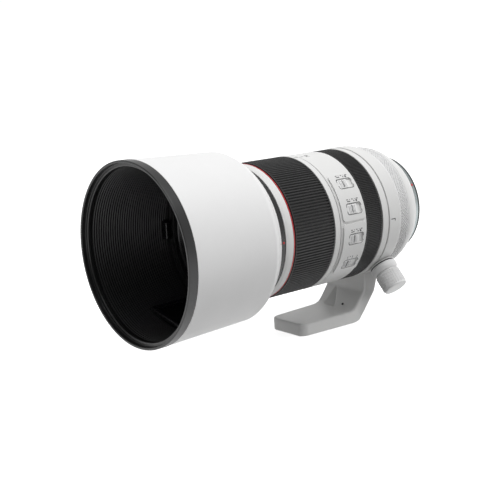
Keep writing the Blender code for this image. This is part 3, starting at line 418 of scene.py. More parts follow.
def satin_black():
    """Aluminium turned and black anodised: satin, so a broad bright streak runs over the curve."""
    return lathe_turned("turned_black_anodised_aluminium", "#1D1D1F", "#161617", 0.24, 0.34, 0.25, 0.004,
                        Metallic=0.35, Coat_Weight=0.3, Coat_Roughness=0.25)


def bright_mount():
    """Brass turned, chromed and satin polished: cool grey metal with fine rings."""
    return lathe_turned("turned_chromed_brass", "#A3AAAB", "#8C9495", 0.20, 0.32, 0.20, 0.003, Metallic=1.0)


def red_lacquer():
    """Sprayed red lacquer in a turned groove: saturated and glossier than the enamel beside it."""
    look = bpy.context.scene.lens_finish
    return coat("sprayed_red_lacquer", look.ring, "#B00E16", 0.24, 0.34, 0.5, 0.004, cloud_mm=5.0, Coat_Weight=0.4)


def printed_grey():
    """Pad-printed ink, a little rough at its edges."""
    return coat("pad_printed_grey_ink", "#4A4B4D", "#3C3D3F", 0.5, 0.62, 0.12, 0.004, cloud_mm=2.0)


def printed_red():
    """Pad-printed red ink for the alignment dots."""
    return coat("pad_printed_red_ink", "#D3131C", "#B60F17", 0.4, 0.5, 0.12, 0.004, cloud_mm=1.0)


def black_nylon():
    """Glass-filled nylon, moulded: black with a slight mottle."""
    return coat("moulded_black_nylon", "#1A1A1B", "#121213", 0.42, 0.58, 0.30, 0.015, cloud_mm=4.0)


def lit_slide_nylon():
    """Nylon moulded in a polished tool, for the parts that slide in the hood: its edges catch thin highlights. Its
    colour is painted lighter than the black nylon elsewhere, as painted light on these parts inside the dark hood.
    """
    return coat("moulded_polished_nylon_painted_lighter", "#29292B", "#1E1E20", 0.20, 0.32, 0.30, 0.004, cloud_mm=4.0,
                Coat_Weight=0.25)


def stainless():
    """Turned stainless steel: bright, with fine tool marks."""
    return lathe_turned("turned_stainless_steel", "#A9AAAB", "#8F9193", 0.22, 0.36, 0.30, 0.004, Metallic=1.0)


def gold_plate():
    """Gold plated over brass contacts: small, warm and bright."""
    return coat("gold_plated_contact", "#D9B15C", "#C89A42", 0.18, 0.28, 0.10, 0.002, cloud_mm=1.0, Metallic=1.0)


def solder_board():
    """Glass-epoxy circuit board under green solder resist."""
    return coat("green_solder_resist", "#1E5B36", "#174A2B", 0.30, 0.42, 0.40, 0.010, cloud_mm=3.0, Coat_Weight=0.3)


def coated_glass():
    """Polished optical glass with an anti-reflection coating, partly clear. Its base colour is painted dark, drifting
    between violet and green: painted shade of the dark lens behind the glass, and a painted sheen of the coating's
    coloured reflections.
    """
    if "optical_glass_painted_dark_sheen" in MADE:
        return MADE["optical_glass_painted_dark_sheen"]
    made = bpy.data.materials.new("optical_glass_painted_dark_sheen")
    made.use_nodes = True
    made.node_tree.nodes.clear()
    where = add(made, "ShaderNodeTexCoord").outputs["Object"]
    sheen_drift = add(made, "ShaderNodeTexNoise", Vector=where, Scale=1000 / 30.0, Detail=1.0)
    # Painted shade and sheen: the base colour is nearly black, drifting between violet and green.
    tint = add(made, "ShaderNodeMix", {"data_type": "RGBA"}, Factor=sheen_drift.outputs["Fac"], n6=linear("#2A2440"),
               n7=linear("#1C3334"))
    surface = add(made, "ShaderNodeBsdfPrincipled", Base_Color=tint.outputs[2], Roughness=0.015, IOR=1.6,
                  Transmission_Weight=0.55, Coat_Weight=0.6, Coat_Roughness=0.01, Coat_Tint=linear("#8E7BC9"))
    add(made, "ShaderNodeOutputMaterial", Surface=surface.outputs[0])
    MADE["optical_glass_painted_dark_sheen"] = made
    return made


CAD_FINISHES = {
    "white_paint": baked_enamel, "white_moulded": moulded_abs, "red_ring": red_lacquer, "grip_rubber": grip_rubber,
    "black_plastic": black_nylon, "black_anodised": satin_black, "chrome_mount": bright_mount, "steel": stainless,
    "coated_glass": coated_glass, "circuit_board": solder_board,
}


# ---- settings ----
class LensFinish(bpy.types.PropertyGroup):
    """Colours of the lens, as sRGB hex codes."""
    enamel: StringProperty(name="Enamel", description="Barrel and collar", default="#E9E9E8")
    enamel_shade: StringProperty(name="Enamel shade", description="Where the enamel drifts darker", default="#E2E2E1")
    hood: StringProperty(name="Hood", description="Outside of the hood", default="#F1F1F1")
    hood_shade: StringProperty(name="Hood shade", description="Where the hood drifts darker", default="#ECECEC")
    rubber: StringProperty(name="Rubber", description="Both grips", default="#191919")
    rubber_shade: StringProperty(name="Rubber shade", description="Where the rubber drifts darker", default="#121213")
    ring: StringProperty(name="Ring", description="The thin ring ahead of the zoom grip", default="#D5121C")


class LensDetail(bpy.types.PropertyGroup):
    """Sizes of the fine features."""
    zoom_ribs: IntProperty(name="Zoom ribs", description="Ribs round the zoom grip", default=145, min=60, max=240)
    focus_ribs: IntProperty(name="Focus ribs", description="Ribs round the focus grip", default=230, min=60, max=300)
    rib_depth: FloatProperty(name="Rib depth", description="Depth between ribs, mm", default=1.0, min=0.2, max=1.2)
    hood_ridge: FloatProperty(name="Hood ridge pitch", description="Spacing of the ridges in the hood, mm",
                              default=1.7, min=1.0, max=4.0)
    knurl: IntProperty(name="Knurl points", description="Diamonds round the control ring", default=140, min=100,
                       max=320)
    mark_height: FloatProperty(name="Mark height", description="Thickness of the printed marks, mm", default=0.04,
                               min=0.01, max=0.2)


class LensStage(bpy.types.PropertyGroup):
    """Light and view."""
    top_light: FloatProperty(name="Top light", description="Power of the softbox above", default=6.6, min=0.0,
                             subtype="POWER", unit="POWER")
    focal_length: FloatProperty(name="Focal length", description="Of the view's camera, mm", default=76.8, min=10.0)


# ---- hood ----
HOOD_FRONT, HOOD_REAR = reach("hood_rim")[0], reach("hood_bayonet_ring")[1]
SHOULDER_REAR = reach("hood_rear_cap")[1]
MOUTH_R = reach("hood_rim")[2]
SHELL_FRONT = reach("hood_shell")[0]
SHELL_WALL, LINER_OUTSET, LINER_WALL = 1.3, 2.7, 1.0
HOOD_SLOPE = 2.7 / (HOOD_REAR - HOOD_FRONT)
SHOULDER_DROP, SHOULDER_POWER = 7.0, 1.2


def hood_r(x, depth=0.0):
    """The hood's radius, depth inside its surface: it narrows evenly to the rear, then turns in along a curve
    between a cone and a quarter ellipse, 1 - (1 - s^p)^(1/p)."""
    length = SHOULDER_REAR - HOOD_REAR
    share = np.clip((x - HOOD_REAR) / (length - 1.6 * depth), 0, 0.98)
    turned_in = (SHOULDER_DROP - depth) * (1 - (1 - share ** SHOULDER_POWER) ** (1 / SHOULDER_POWER))
    return MOUTH_R - HOOD_SLOPE * (np.minimum(x, HOOD_REAR) - HOOD_FRONT) - depth - turned_in


def door_window():
    """The window in the hood's wall under the door, from the door's own box and its overlap at each edge."""
    low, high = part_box("hood_window")
    overlap = 1.2  # of the door over the liner, at each edge
    low_y, high_y = low.y / MM, high.y / MM
    radius = hood_r((low.x + high.x) / 2 / MM) - SHELL_WALL - 0.3
    ends = -90 + np.degrees(np.arcsin(np.array([low_y, high_y]) / radius))
    half = np.radians(ends[1] - ends[0]) / 2 * radius - overlap
    middle = -180 - ends.mean() if ends.mean() > -90 else ends.mean()
    return (low.x + high.x) / 2 / MM, middle, (high.x - low.x) / 2 / MM - overlap, half, 2.0


class LENS_OT_hood(bpy.types.Operator):
    """Builds the hood: white shell, ridged black liner, rubber rim, rear ring, sliding door and release button"""
    bl_idname = "lens.hood"
    bl_label = "Hood"

    def execute(self, context):
        detail = context.scene.lens_detail
        rim_rear = reach("hood_rim")[1]
        rim = [(HOOD_FRONT, MOUTH_R - 1.6), (HOOD_FRONT, MOUTH_R), (rim_rear, MOUTH_R - 0.05),
               (rim_rear, MOUTH_R - 4.2), (HOOD_FRONT + 3.1, MOUTH_R - 4.0), (HOOD_FRONT + 3.1, MOUTH_R - 1.9)]
        piece("hood_rim_rubber", turned(rounded(rim, [0.55, 0.75, 0.3, 0.3, 0.5, 0.3])), "hood", rim_rubber(),
              "hood_rim")
        door = door_window()
        low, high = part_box("hood_release_button")
        button = ((low.x + high.x) / 2 / MM, 180.0, (high.x - low.x) / 2 / MM, (high.z - low.z) / 2 / MM, 1.4)
        hole = (*button[:2], button[2] + 0.5, button[3] + 0.5, 1.8)
        shoulder = np.sin(np.radians(np.linspace(8, 90, 18)))
        shell_x = np.concatenate([[SHELL_FRONT, SHELL_FRONT + 0.3], np.linspace(SHELL_FRONT + 0.9, HOOD_REAR, 58),
                                  HOOD_REAR + (SHOULDER_REAR - HOOD_REAR) * shoulder])
        degrees_round = np.arange(300) * 1.2 - 180
        piece("hood_shell_white", wall(shell_x, degrees_round, lambda x, a: hood_r(x),
              lambda x, a: hood_r(x, SHELL_WALL), (door, hole)), "hood", moulded_abs(), ("hood_shell", "hood_rear_cap"),
              bevel=0.18)
        self.liner(detail, door)
        self.rear_ring()
        self.door(door)
        self.tracks(door)
        self.button(button)
        return {"FINISHED"}

    def liner(self, detail, door):
        """The black inner wall, with ridges that catch stray light and an opening over the door."""
        front, rear, _ = reach("hood_liner")
        pitch = detail.hood_ridge
        count = int((rear - front - 1.0) / pitch)
        parts = np.array([0.0, 0.3, 0.55, 0.8])
        x_lines = np.concatenate([[front, front + 0.3], (front + 0.6 + np.arange(count)[:, None] * pitch
                                                         + parts * pitch).ravel(), [rear]])

        def inner(x, a):
            """The wall less a ridge in each pitch: up over its first half and back down, flat at the ends."""
            phase = ((x - front - 0.6) / pitch) % 1.0
            ridge = np.clip(1.35 - np.abs(phase - 0.42) * 4.2, 0, 1)
            live = (x > front + 0.5) & (x < rear - 0.6)
            return hood_r(x) - LINER_OUTSET - LINER_WALL + 0.45 * (1 - ridge) * live

        piece("hood_liner_ridged", wall(x_lines, np.arange(180) * 2.0 - 180, lambda x, a: hood_r(x) - LINER_OUTSET,
              inner, (door,)), "hood", flat_black(), "hood_liner", sharp=30)

    def rear_ring(self):
        """The ring that holds the lens: a stepped outline spun about the axis, grooved in front and behind."""
        front, rear, outer = reach("hood_bayonet_ring")
        bore = reach("front_ring")[2] + 0.12
        steps = [(front, bore + 2.2), (front + 0.9, bore + 1.9), (front + 0.9, bore), (rear, bore), (rear, bore + 4.0),
                 (rear - 0.5, bore + 4.2), (rear - 0.5, bore + 5.2), (rear, bore + 5.4), (rear, outer),
                 (front, outer), (front, bore + 6.4), (front + 0.7, bore + 6.2), (front + 0.7, bore + 4.4),
                 (front, bore + 4.2)]
        piece("hood_rear_ring", turned(rounded(steps, 0.16, 3)), "hood", black_nylon(), "hood_bayonet_ring")

    def door(self, door):
        """The sliding door, a curved plate that follows the shell just inside it, over a black backing."""
        low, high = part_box("hood_window")
        mid_x, mid_deg, _, half_v, corner = door
        x_lines = np.linspace(low.x / MM, high.x / MM, 42)
        span = np.degrees((half_v + 1.2) / (hood_r(mid_x) - SHELL_WALL))
        degrees_round = np.linspace(mid_deg - span, mid_deg + span, 60)

        def outer(x, a):
            """The door's outside, with five finger grooves across its middle."""
            turn = (a - np.radians(mid_deg)) * hood_r(mid_x)
            groove = (np.abs(turn) < 7.0) * (np.abs(x - mid_x) < 8.0) * (0.5 - 0.5 * np.cos(2 * np.pi * turn / 2.4))
            return hood_r(x) - SHELL_WALL - 0.3 - 0.35 * groove

        outline = (mid_x, mid_deg, (high.x - low.x) / 2 / MM - 0.05, half_v + 1.1, corner + 1.0)
        piece("hood_door_white", wall(x_lines, degrees_round, outer, lambda x, a: hood_r(x) - SHELL_WALL - 0.8,
              (), outline), "hood_window", moulded_abs(), "hood_window")
        backing = wall(x_lines[1:-1:2], degrees_round[1:-1:2], lambda x, a: hood_r(x) - SHELL_WALL - 0.82,
                       lambda x, a: hood_r(x) - SHELL_WALL - 1.1)
        piece("hood_door_backing", backing, "hood_window", flat_black())

    def tracks(self, door):
        """Rails round the door's opening and the release's housing, both raised inwards from the liner."""
        mid_x, mid_deg, half_x, half_v, _ = door
        inside = lambda x: hood_r(x) - LINER_OUTSET - LINER_WALL + 0.05
        along = on_barrel(mid_x, mid_deg, inside, side=-1)
        parts = [slab(along, 0.9, half_v + 2.2, 0.5, 1.5, 0.35, 0.6, (-half_x - 1.4, 0)),
                 slab(along, 0.8, half_v + 2.2, 0.5, 1.1, 0.35, 0.6, (half_x + 1.3, 0))]
        parts += [slab(along, half_x + 0.4, 0.7, 0.4, 1.0, 0.3, 0.6, (0, side * (half_v + 1.3))) for side in (-1, 1)]
        piece("hood_door_track", parts, "hood", lit_slide_nylon())
        place = on_barrel(reach("hood_bayonet_ring")[0] - 2.6, 180.0, inside, side=-1)
        parts = [slab(place, 2.2, 6.5, 1.0, 4.2, 0.5, 0.4)]
        parts += [slab(place, 1.7, 0.3, 0.25, 4.7, 0.2, -3.8, (0, k * 1.5)) for k in range(-3, 4)]
        piece("hood_release_housing", parts, "hood", lit_slide_nylon())

    def button(self, button):
        """The release: a rounded block that follows the shell, with seven finger ridges across it."""
        mid_x, mid_deg, half_x, half_v, corner = button
        radius = hood_r(mid_x)
        place = on_barrel(mid_x, mid_deg, radius)
        parts = [slab(place, half_x - 0.1, half_v, corner, 0.75, 0.35, 1.1)]
        parts += [slab(place, 0.35, half_v - 1.1, 0.3, 1.15, 0.25, -0.6, (k * 1.6, 0)) for k in range(-3, 4)]
        piece("hood_release_cap", parts, "hood_release", moulded_abs(), "hood_release_button")


# ---- front group ----
class LENS_OT_front_group(bpy.types.Operator):
    """Builds the front ring with its filter thread, the white and red bands, the sliding tube and the front glass"""
    bl_idname = "lens.front_group"
    bl_label = "Front group"

    def execute(self, context):
        front, rear, radius = reach("front_ring")
        bore = reach("front_retaining_ring")[2] + 0.3
        thread = np.arange(16) * 0.25
        teeth = [(front + 0.4 + s, bore + 0.35 * (k % 3 == 1)) for k, s in enumerate(thread[:12])]
        outline = [(front, radius - 0.6), (front + 0.6, radius), (rear, radius), (rear, bore)] + teeth[::-1] \
            + [(front, bore + 0.5)]
        piece("front_ring_black", turned(split_runs(rounded(outline, 0.12, 3), 8.0)), "front_group", satin_black(),
              "front_ring")
        front, rear, radius = reach("white_band")
        tube_r = reach("extending_tube")[2]
        band = [(front, tube_r + 0.3), (front, radius - 0.45), (front + 2.6, radius), (rear, radius),
                (rear, tube_r + 0.3)]
        piece("white_band_enamel", turned(rounded(band, [0.1, 0.25, 0.4, 0.2, 0.1])), "front_group", baked_enamel(),
              "white_band")
        front, rear, radius = reach("red_band")
        band = [(front - 0.15, tube_r + 0.3), (front - 0.15, radius), (rear + 0.12, radius),
                (rear + 0.12, tube_r + 0.3)]
        piece("red_band_lacquer", turned(rounded(band, 0.14)), "front_group", red_lacquer(), "red_band")
        front, rear, radius = reach("extending_tube")
        tube = [(front, radius - 1.1), (front, radius), (rear, radius), (rear, radius - 1.1)]
        piece("extending_tube_enamel", turned(split_runs(rounded(tube, 0.2), 9.0)), "front_group", baked_enamel(),
              "extending_tube")
        self.glass_and_cell()
        return {"FINISHED"}

    def glass_and_cell(self):
        """The front glass, r^2 domes on both faces, and the notched ring that holds it."""
        front, rear, radius = reach("front_element")
        centre = 3.0
        s = np.linspace(0.03, 1, 16)
        dome = np.stack([front + centre * s ** 2, radius * s], -1)
        back = np.stack([rear - 0.8 * s[::-1] ** 2, radius * s[::-1]], -1)
        piece("front_glass", turned(np.vstack([dome, back]), 128, loop=False), "front_group", coated_glass(),
              "front_element")
        front, rear, outer = reach("front_retaining_ring")
        bore = radius - 1.6
        notch = lambda x, r, a: np.where((x < front + 0.2) & (np.abs(np.sin(a)) < 0.035) & (r < bore + 1), 1.0, 0.0)
        ring = [(front, bore + 0.9), (front, outer), (rear, outer), (rear, bore), (front + 0.9, bore)]
        piece("front_retainer", turned(rounded(ring, 0.14, 3), 192, notch), "front_group", flat_black(),
              "front_retaining_ring")


# ---- zoom and focus rings ----
GRIP_WALL = 1.7  # rubber and sleeve's step together


def ribbed_grip(front, rear, radius, bore, ribs, depth, share):
    """A rubber sleeve with lengthwise ribs: height 1.7 cos(phase) + share, cut off at 0 and 1, faded at the ends."""
    def relief(x, r, a):
        ridge = np.clip(1.7 * np.cos(a * ribs) + share, 0, 1)
        inside = np.clip(np.minimum(x - front - 0.5, rear - 0.5 - x) / 0.5, 0, 1)
        return -depth * (1 - ridge) * inside * (r > radius - 0.02)

    outline = [(front, bore), (front, radius), (rear, radius), (rear, bore)]
    profile = rounded(outline, [0.1, 0.3, 0.3, 0.1], 3)
    extra = np.array([(front + s, radius) for s in (0.55, 1.05, 1.2)])
    far = np.array([(rear - s, radius) for s in (1.2, 1.05, 0.55)])
    middle = np.stack([np.linspace(front + 4, rear - 4, 4), np.full(4, radius)], -1)
    top = np.flatnonzero((profile[:, 1] > radius - 1e-6) & (profile[:, 0] < (front + rear) / 2)).max() + 1
    return turned(np.vstack([profile[:top], extra, middle, far, profile[top:]]), ribs * 8, relief)


class LENS_OT_zoom_ring(bpy.types.Operator):
    """Builds the zoom ring: its ribbed rubber grip and the white skirt behind it"""
    bl_idname = "lens.zoom_ring"
    bl_label = "Zoom ring"

    def execute(self, context):
        detail = context.scene.lens_detail
        front, rear, radius = reach("zoom_grip")
        sleeve_r = radius - GRIP_WALL
        piece("zoom_grip_rubber", ribbed_grip(front, rear, radius, sleeve_r + 0.3, detail.zoom_ribs, detail.rib_depth,
              0.35), "zoom_ring", grip_rubber(), "zoom_grip", sharp=50)
        front, rear, skirt_r = reach("zoom_ring")
        skirt = reach("zoom_grip")[1] + 0.3
        ring = [(front, sleeve_r - 1.0), (front, sleeve_r), (skirt, sleeve_r), (skirt, skirt_r),
                (rear - 0.35, skirt_r), (rear - 0.35, skirt_r - 1.2), (rear - 0.8, skirt_r - 1.2),
                (rear - 0.8, sleeve_r - 1.0)]
        piece("zoom_skirt_enamel", turned(rounded(ring, [0.1, 0.1, 0.1, 0.2, 0.2, 0.1, 0.1, 0.1])), "zoom_ring",
              baked_enamel(), "zoom_ring")
        # A black ring in the gap behind the skirt that darkens the seam: partly the black inner barrel that shows in
        # such a gap, partly painted shade of the gap.
        gap = [(rear - 0.7, sleeve_r), (rear - 0.7, skirt_r - 1.35), (rear - 0.25, skirt_r - 1.35),
               (rear - 0.25, skirt_r - 0.9), (rear + 0.25, skirt_r - 0.9), (rear + 0.25, sleeve_r)]
        piece("zoom_seam_shade_ring", turned(gap), "root", flat_black())
        return {"FINISHED"}


class LENS_OT_focus_ring(bpy.types.Operator):
    """Builds the focus ring: its finer ribbed grip over a plain sleeve"""
    bl_idname = "lens.focus_ring"
    bl_label = "Focus ring"

    def execute(self, context):
        detail = context.scene.lens_detail
        front, rear, radius = reach("focus_grip")
        sleeve_r = radius - GRIP_WALL
        piece("focus_grip_rubber", ribbed_grip(front, rear, radius, sleeve_r + 0.3, detail.focus_ribs,
              detail.rib_depth * 0.8, 0.2), "focus_ring", grip_rubber(), "focus_grip", sharp=50)
        return {"FINISHED"}


# ---- switch barrel ----
SWITCHES = {"focus_limit_switch": 2, "focus_mode_switch": 2, "stabiliser_switch": 2, "stabiliser_mode_switch": 3}
WINDOW_HALF_X, WINDOW_HALF_V = 6.25, 3.35
PANEL_TOP = 1.0  # how far the panels stand out of the barrel
ROW_PLACE = 0.55  # the switches' row, as a share of the barrel from its front


def switch_row():
    """X of the switches' middles. The barrel's own gap of 0.3 counts as part of its length."""
    front, rear, _ = reach("panel_barrel")
    return front + ROW_PLACE * (rear + 0.3 - front)


def corner_angles(node):
    """Lowest and highest angle of a CAD node's points, in degrees."""
    co = np.array([v.co for v in frame["nodes"][node].data.vertices]) / MM
    turn = np.degrees(np.arctan2(co[:, 2] - AXIS_Z, -co[:, 1]))
    return float(turn.min()), float(turn.max())


class LENS_OT_switch_barrel(bpy.types.Operator):
    """Builds the white barrel behind the zoom ring, its two switch panels and the four sliders with their marks"""
    bl_idname = "lens.switch_barrel"
    bl_label = "Switch barrel"

    def execute(self, context):
        front, rear, radius = reach("panel_barrel")
        bore = reach("outer_barrel")[2] + 0.3
        barrel = [(front, bore), (front, radius), (rear, radius), (rear, bore)]
        piece("panel_barrel_enamel", turned(split_runs(rounded(barrel, [0.1, 0.25, 0.25, 0.1]), 5.0)), "root",
              baked_enamel(), "panel_barrel")
        mid_x = switch_row()
        for panel in ("upper_switch_panel", "lower_switch_panel"):
            self.panel(panel, mid_x)
        for name in SWITCHES:
            self.slider(name)
        return {"FINISHED"}

    def panel(self, node, mid_x):
        """A raised plate round the barrel with rounded corners and a window for each of its switches."""
        low_x, high_x = (v.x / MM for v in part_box(node))
        low, high = corner_angles(node)
        top = BARREL_R + PANEL_TOP
        half_v = np.radians(high - low) / 2 * top
        windows = [(mid_x, self.angle(name), WINDOW_HALF_X, WINDOW_HALF_V, 1.3) for name in SWITCHES
                   if low < self.angle(name) < high]
        outline = ((low_x + high_x) / 2, (low + high) / 2, (high_x - low_x) / 2 - 0.05, half_v - 0.05, 2.6)
        edges = mid_x + np.array([-1, 1]) * WINDOW_HALF_X
        x_lines = np.unique(np.concatenate([np.linspace(low_x, edges[0], 9), np.linspace(edges[0], edges[1], 35),
                                            np.linspace(edges[1], high_x, 9)]).round(5))
        count = int((high - low) * 2.2)
        piece(f"{node}_enamel", wall(x_lines, np.linspace(low, high, count), lambda x, a: top + 0 * x,
              lambda x, a: BARREL_R - 0.05 + 0 * x, windows, outline), "root", baked_enamel(), node,
              bevel=0.32)

    def angle(self, name):
        """A switch's middle, in degrees round the lens."""
        return sum(corner_angles(name)) / 2

    def slider(self, name):
        """A low block with four finger ridges across it, and the printed bar on its middle."""
        low_x, high_x = (v.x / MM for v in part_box(name))
        half_x = (high_x - low_x) / 2
        turn = self.angle(name)
        radius = BARREL_R + 0.1
        place = on_barrel((low_x + high_x) / 2, turn, radius)
        half_v = WINDOW_HALF_V - 0.3
        parts = [slab(place, half_x, half_v, 1.0, 0.75, 0.22, 0.0)]
        parts += [slab(place, 0.32, half_v - 0.7, 0.28, 1.15, 0.2, -0.6, (k * 1.25, 0)) for k in (-2, -1, 1, 2)]
        piece(f"{name}_cap", parts, name, moulded_abs(), name)
        bar = [slab(place, 0.28, half_v - 0.5, 0.25, 0.98, 0.1, -0.6)]
        piece(f"{name}_index", bar, name, printed_grey())


# ---- printed marks ----
class LENS_OT_marks(bpy.types.Operator):
    """Prints the marks: stops above each switch, the zoom scale, the collar's index and the red alignment dots"""
    bl_idname = "lens.marks"
    bl_label = "Marks"

    def execute(self, context):
        thick = context.scene.lens_detail.mark_height
        mid_x = switch_row()
        top = BARREL_R + PANEL_TOP
        parts = []
        for name, stops in SWITCHES.items():
            turn = sum(corner_angles(name)) / 2 + np.degrees(WINDOW_HALF_V / top)
            for k in range(stops):
                x = mid_x + (k - (stops - 1) / 2) * (7.0 if stops == 2 else 4.3)
                lift = np.degrees(1.7 / top)
                if stops == 3:
                    parts.append(lettering(str(k + 1), 2.6, on_barrel(x, turn + lift, top + thick / 2), thick))
                elif k == 0:
                    parts.append(slab(on_barrel(x, turn + lift, top), 1.5, 0.3, 0.25, thick, thick / 2))
                else:
                    parts.append(self.dot(x, turn + lift, top, 0.75, thick))
                    parts.append(self.dot(x - 2.2, turn + lift, top, 0.45, thick))
            row = turn + np.degrees(2.9 / top)
            for k, half in enumerate((1.1, 0.35, 0.9, 0.35, 1.3) if stops == 2 else (0.35, 0.7, 0.35)):
                parts.append(slab(on_barrel(mid_x + (k - 2) * 2.2, row, top), half * 0.7, 0.28, 0.2, thick, thick / 2))
            # Grey frame round each window: print, and painted shade along the window's edge.
            place = on_barrel(mid_x, sum(corner_angles(name)) / 2, top - 0.01)
            parts.append(outline_strip(place, WINDOW_HALF_X + 0.05, WINDOW_HALF_V + 0.05, 1.35, 0.42, thick))
        piece("switch_marks", parts, "root", printed_grey())
        self.zoom_scale(thick)
        self.dots(thick)
        return {"FINISHED"}

    def dot(self, x, turn, radius, size, thick):
        """A round spot: a slab whose corners are as large as itself."""
        return slab(on_barrel(x, turn, radius), size, size, size - 0.01, thick, thick / 2)

    def zoom_scale(self, thick):
        """Four focal lengths over the 75 degrees that the index on the zoom ring turns through."""
        front, _, radius = reach("panel_barrel")
        start, full = 81.0, 75.0
        shares = {"70": 0.0, "100": 0.32, "135": 0.62, "200": 1.0}
        parts = [lettering(text, 4.2, on_barrel(front + 7.5, start + full * share, radius + thick / 2, 90.0), thick)
                 for text, share in shares.items()]
        parts += [slab(on_barrel(front + 2.6, start + full * share, radius), 1.5, 0.22, 0.2, thick, thick / 2)
                  for share in shares.values()]
        piece("zoom_scale_numerals", parts, "root", printed_grey())
        _, skirt_rear, skirt_r = reach("zoom_ring")
        mark = slab(on_barrel(skirt_rear - 2.6, start, skirt_r), 1.9, 0.28, 0.2, thick, thick / 2)
        piece("zoom_index", mark, "zoom_ring", printed_grey())

    def dots(self, thick):
        """Alignment spots of the hood, the collar and the mount."""
        _, rear, radius = reach("front_ring")
        dot = self.dot(rear - 1.4, -0.5, radius, 0.75, 0.12)
        piece("hood_alignment_dot", dot, "front_group", printed_red())
        mark = slab(on_barrel(SHOULDER_REAR - 2.8, 1.4, hood_r), 0.5, 0.45, 0.4, thick + 0.03, thick / 2)
        piece("hood_mark", mark, "hood", printed_red())
        front, _, radius = reach("collar_ring")
        parts = [slab(on_barrel(front + 3.4, 0.0, radius), 2.0, 0.3, 0.2, thick, thick / 2),
                 slab(on_barrel(front + 5.2, -0.8, radius), 0.3, 0.8, 0.2, thick, thick / 2)]
        piece("collar_index", parts, "collar", printed_grey())
        front, _, radius = reach("mount_flange")
        dot = self.dot(front + 3.5, 29.0, radius - 0.9, 0.9, 0.3)
        piece("mount_alignment_dot", dot, "root", printed_red())


# ---- rear half ----
TAIL_SHAPE = [(0.0, 0.0), (0.23, 0.55), (0.45, 1.7), (0.68, 3.35), (0.88, 5.0), (1.0, 5.95)]


class LENS_OT_rear_barrel(bpy.types.Operator):
    """Builds the painted ring ahead of the collar, the knurled control ring and the tapering tail"""
    bl_idname = "lens.rear_barrel"
    bl_label = "Rear barrel"

    def execute(self, context):
        front = reach("rear_ring")[0]
        collar_front, collar_rear, collar_r = reach("collar_ring")
        painted_r = reach("rear_ring")[2]
        seat_r = collar_r - 3.0
        rear = collar_front - 0.6
        seat_rear = reach("rear_ring")[1]
        ring = [(front, painted_r - 6.0), (front, painted_r), (rear, painted_r), (rear, seat_r), (seat_rear, seat_r),
                (seat_rear, painted_r - 6.0)]
        piece("rear_ring_enamel", turned(rounded(ring, [0.1, 0.25, 0.3, 0.1, 0.1, 0.1])), "root", baked_enamel(),
              "rear_ring")
        self.control_ring(context.scene.lens_detail.knurl)
        self.tail()
        return {"FINISHED"}

    def control_ring(self, points_round):
        """The knurled ring: it narrows evenly to the rear, and its face carries the knurl between two plain lips."""
        front, rear, radius = reach("control_ring")
        drop = 1.1
        pitch = 2 * np.pi * radius / points_round
        start, rows = front + 2.0, int((rear - front - 3.0) / pitch * 4)
        x_knurl = start + np.arange(rows + 1) * pitch / 4
        face = np.stack([x_knurl, radius - drop * (x_knurl - front) / (rear - front)], -1)
        bore = radius - 3.6

        def relief(x, r, a):
            """Pyramids: the lower of two triangle waves, which cross each other on the slant. The real knurl is about
            0.8 mm from point to point, and this one is coarser so that it still shows."""
            turn, along = a * points_round / (2 * np.pi), (x - start) / pitch
            waves = [np.abs(2 * ((turn + side * along) % 1.0) - 1) for side in (1, -1)]
            live = (x > start - 0.01) & (x < x_knurl[-1] + 0.01) & (r > radius - drop - 0.6)
            return np.where(live, 1.3 * np.minimum(*waves) - 0.85, 0.0)

        ends = [(front, bore), (front, radius - 0.9), (front + 0.5, radius - 0.35), (front + 1.5, radius - 0.25),
                (front + 1.75, radius - 0.55)]
        after = [(face[-1, 0] + 0.3, radius - drop - 0.35), (face[-1, 0] + 0.6, radius - drop),
                 (rear - 0.1, radius - drop), (rear, radius - drop - 0.1), (rear, bore)]
        piece("control_ring_knurled", turned(np.vstack([ends, face, after]), points_round * 4, relief), "control_ring",
              moulded_abs(), "control_ring", sharp=24)

    def tail(self):
        """The barrel's end: straight runs through TAIL_SHAPE, averaged over five points, spun about the axis."""
        front, rear, _ = reach("rear_barrel")
        control_rear = reach("control_ring")[1] + 0.15
        radius = reach("control_ring")[2] - 1.1
        share = np.array(TAIL_SHAPE)
        s = np.linspace(0, 1, 30)
        drop = np.interp(s, share[:, 0], share[:, 1])
        drop = np.convolve(np.pad(drop, 2, mode="reflect", reflect_type="odd"), np.ones(5) / 5, "valid")
        skin_line = np.stack([control_rear + s * (rear - control_rear), radius - drop], -1)
        inside = [(rear, radius - 13.0), (front, radius - 4.6), (front, radius - 3.0), (control_rear, radius - 3.0)]
        piece("tail_enamel", turned(np.vstack([skin_line, inside])), "root", baked_enamel(), "rear_barrel")


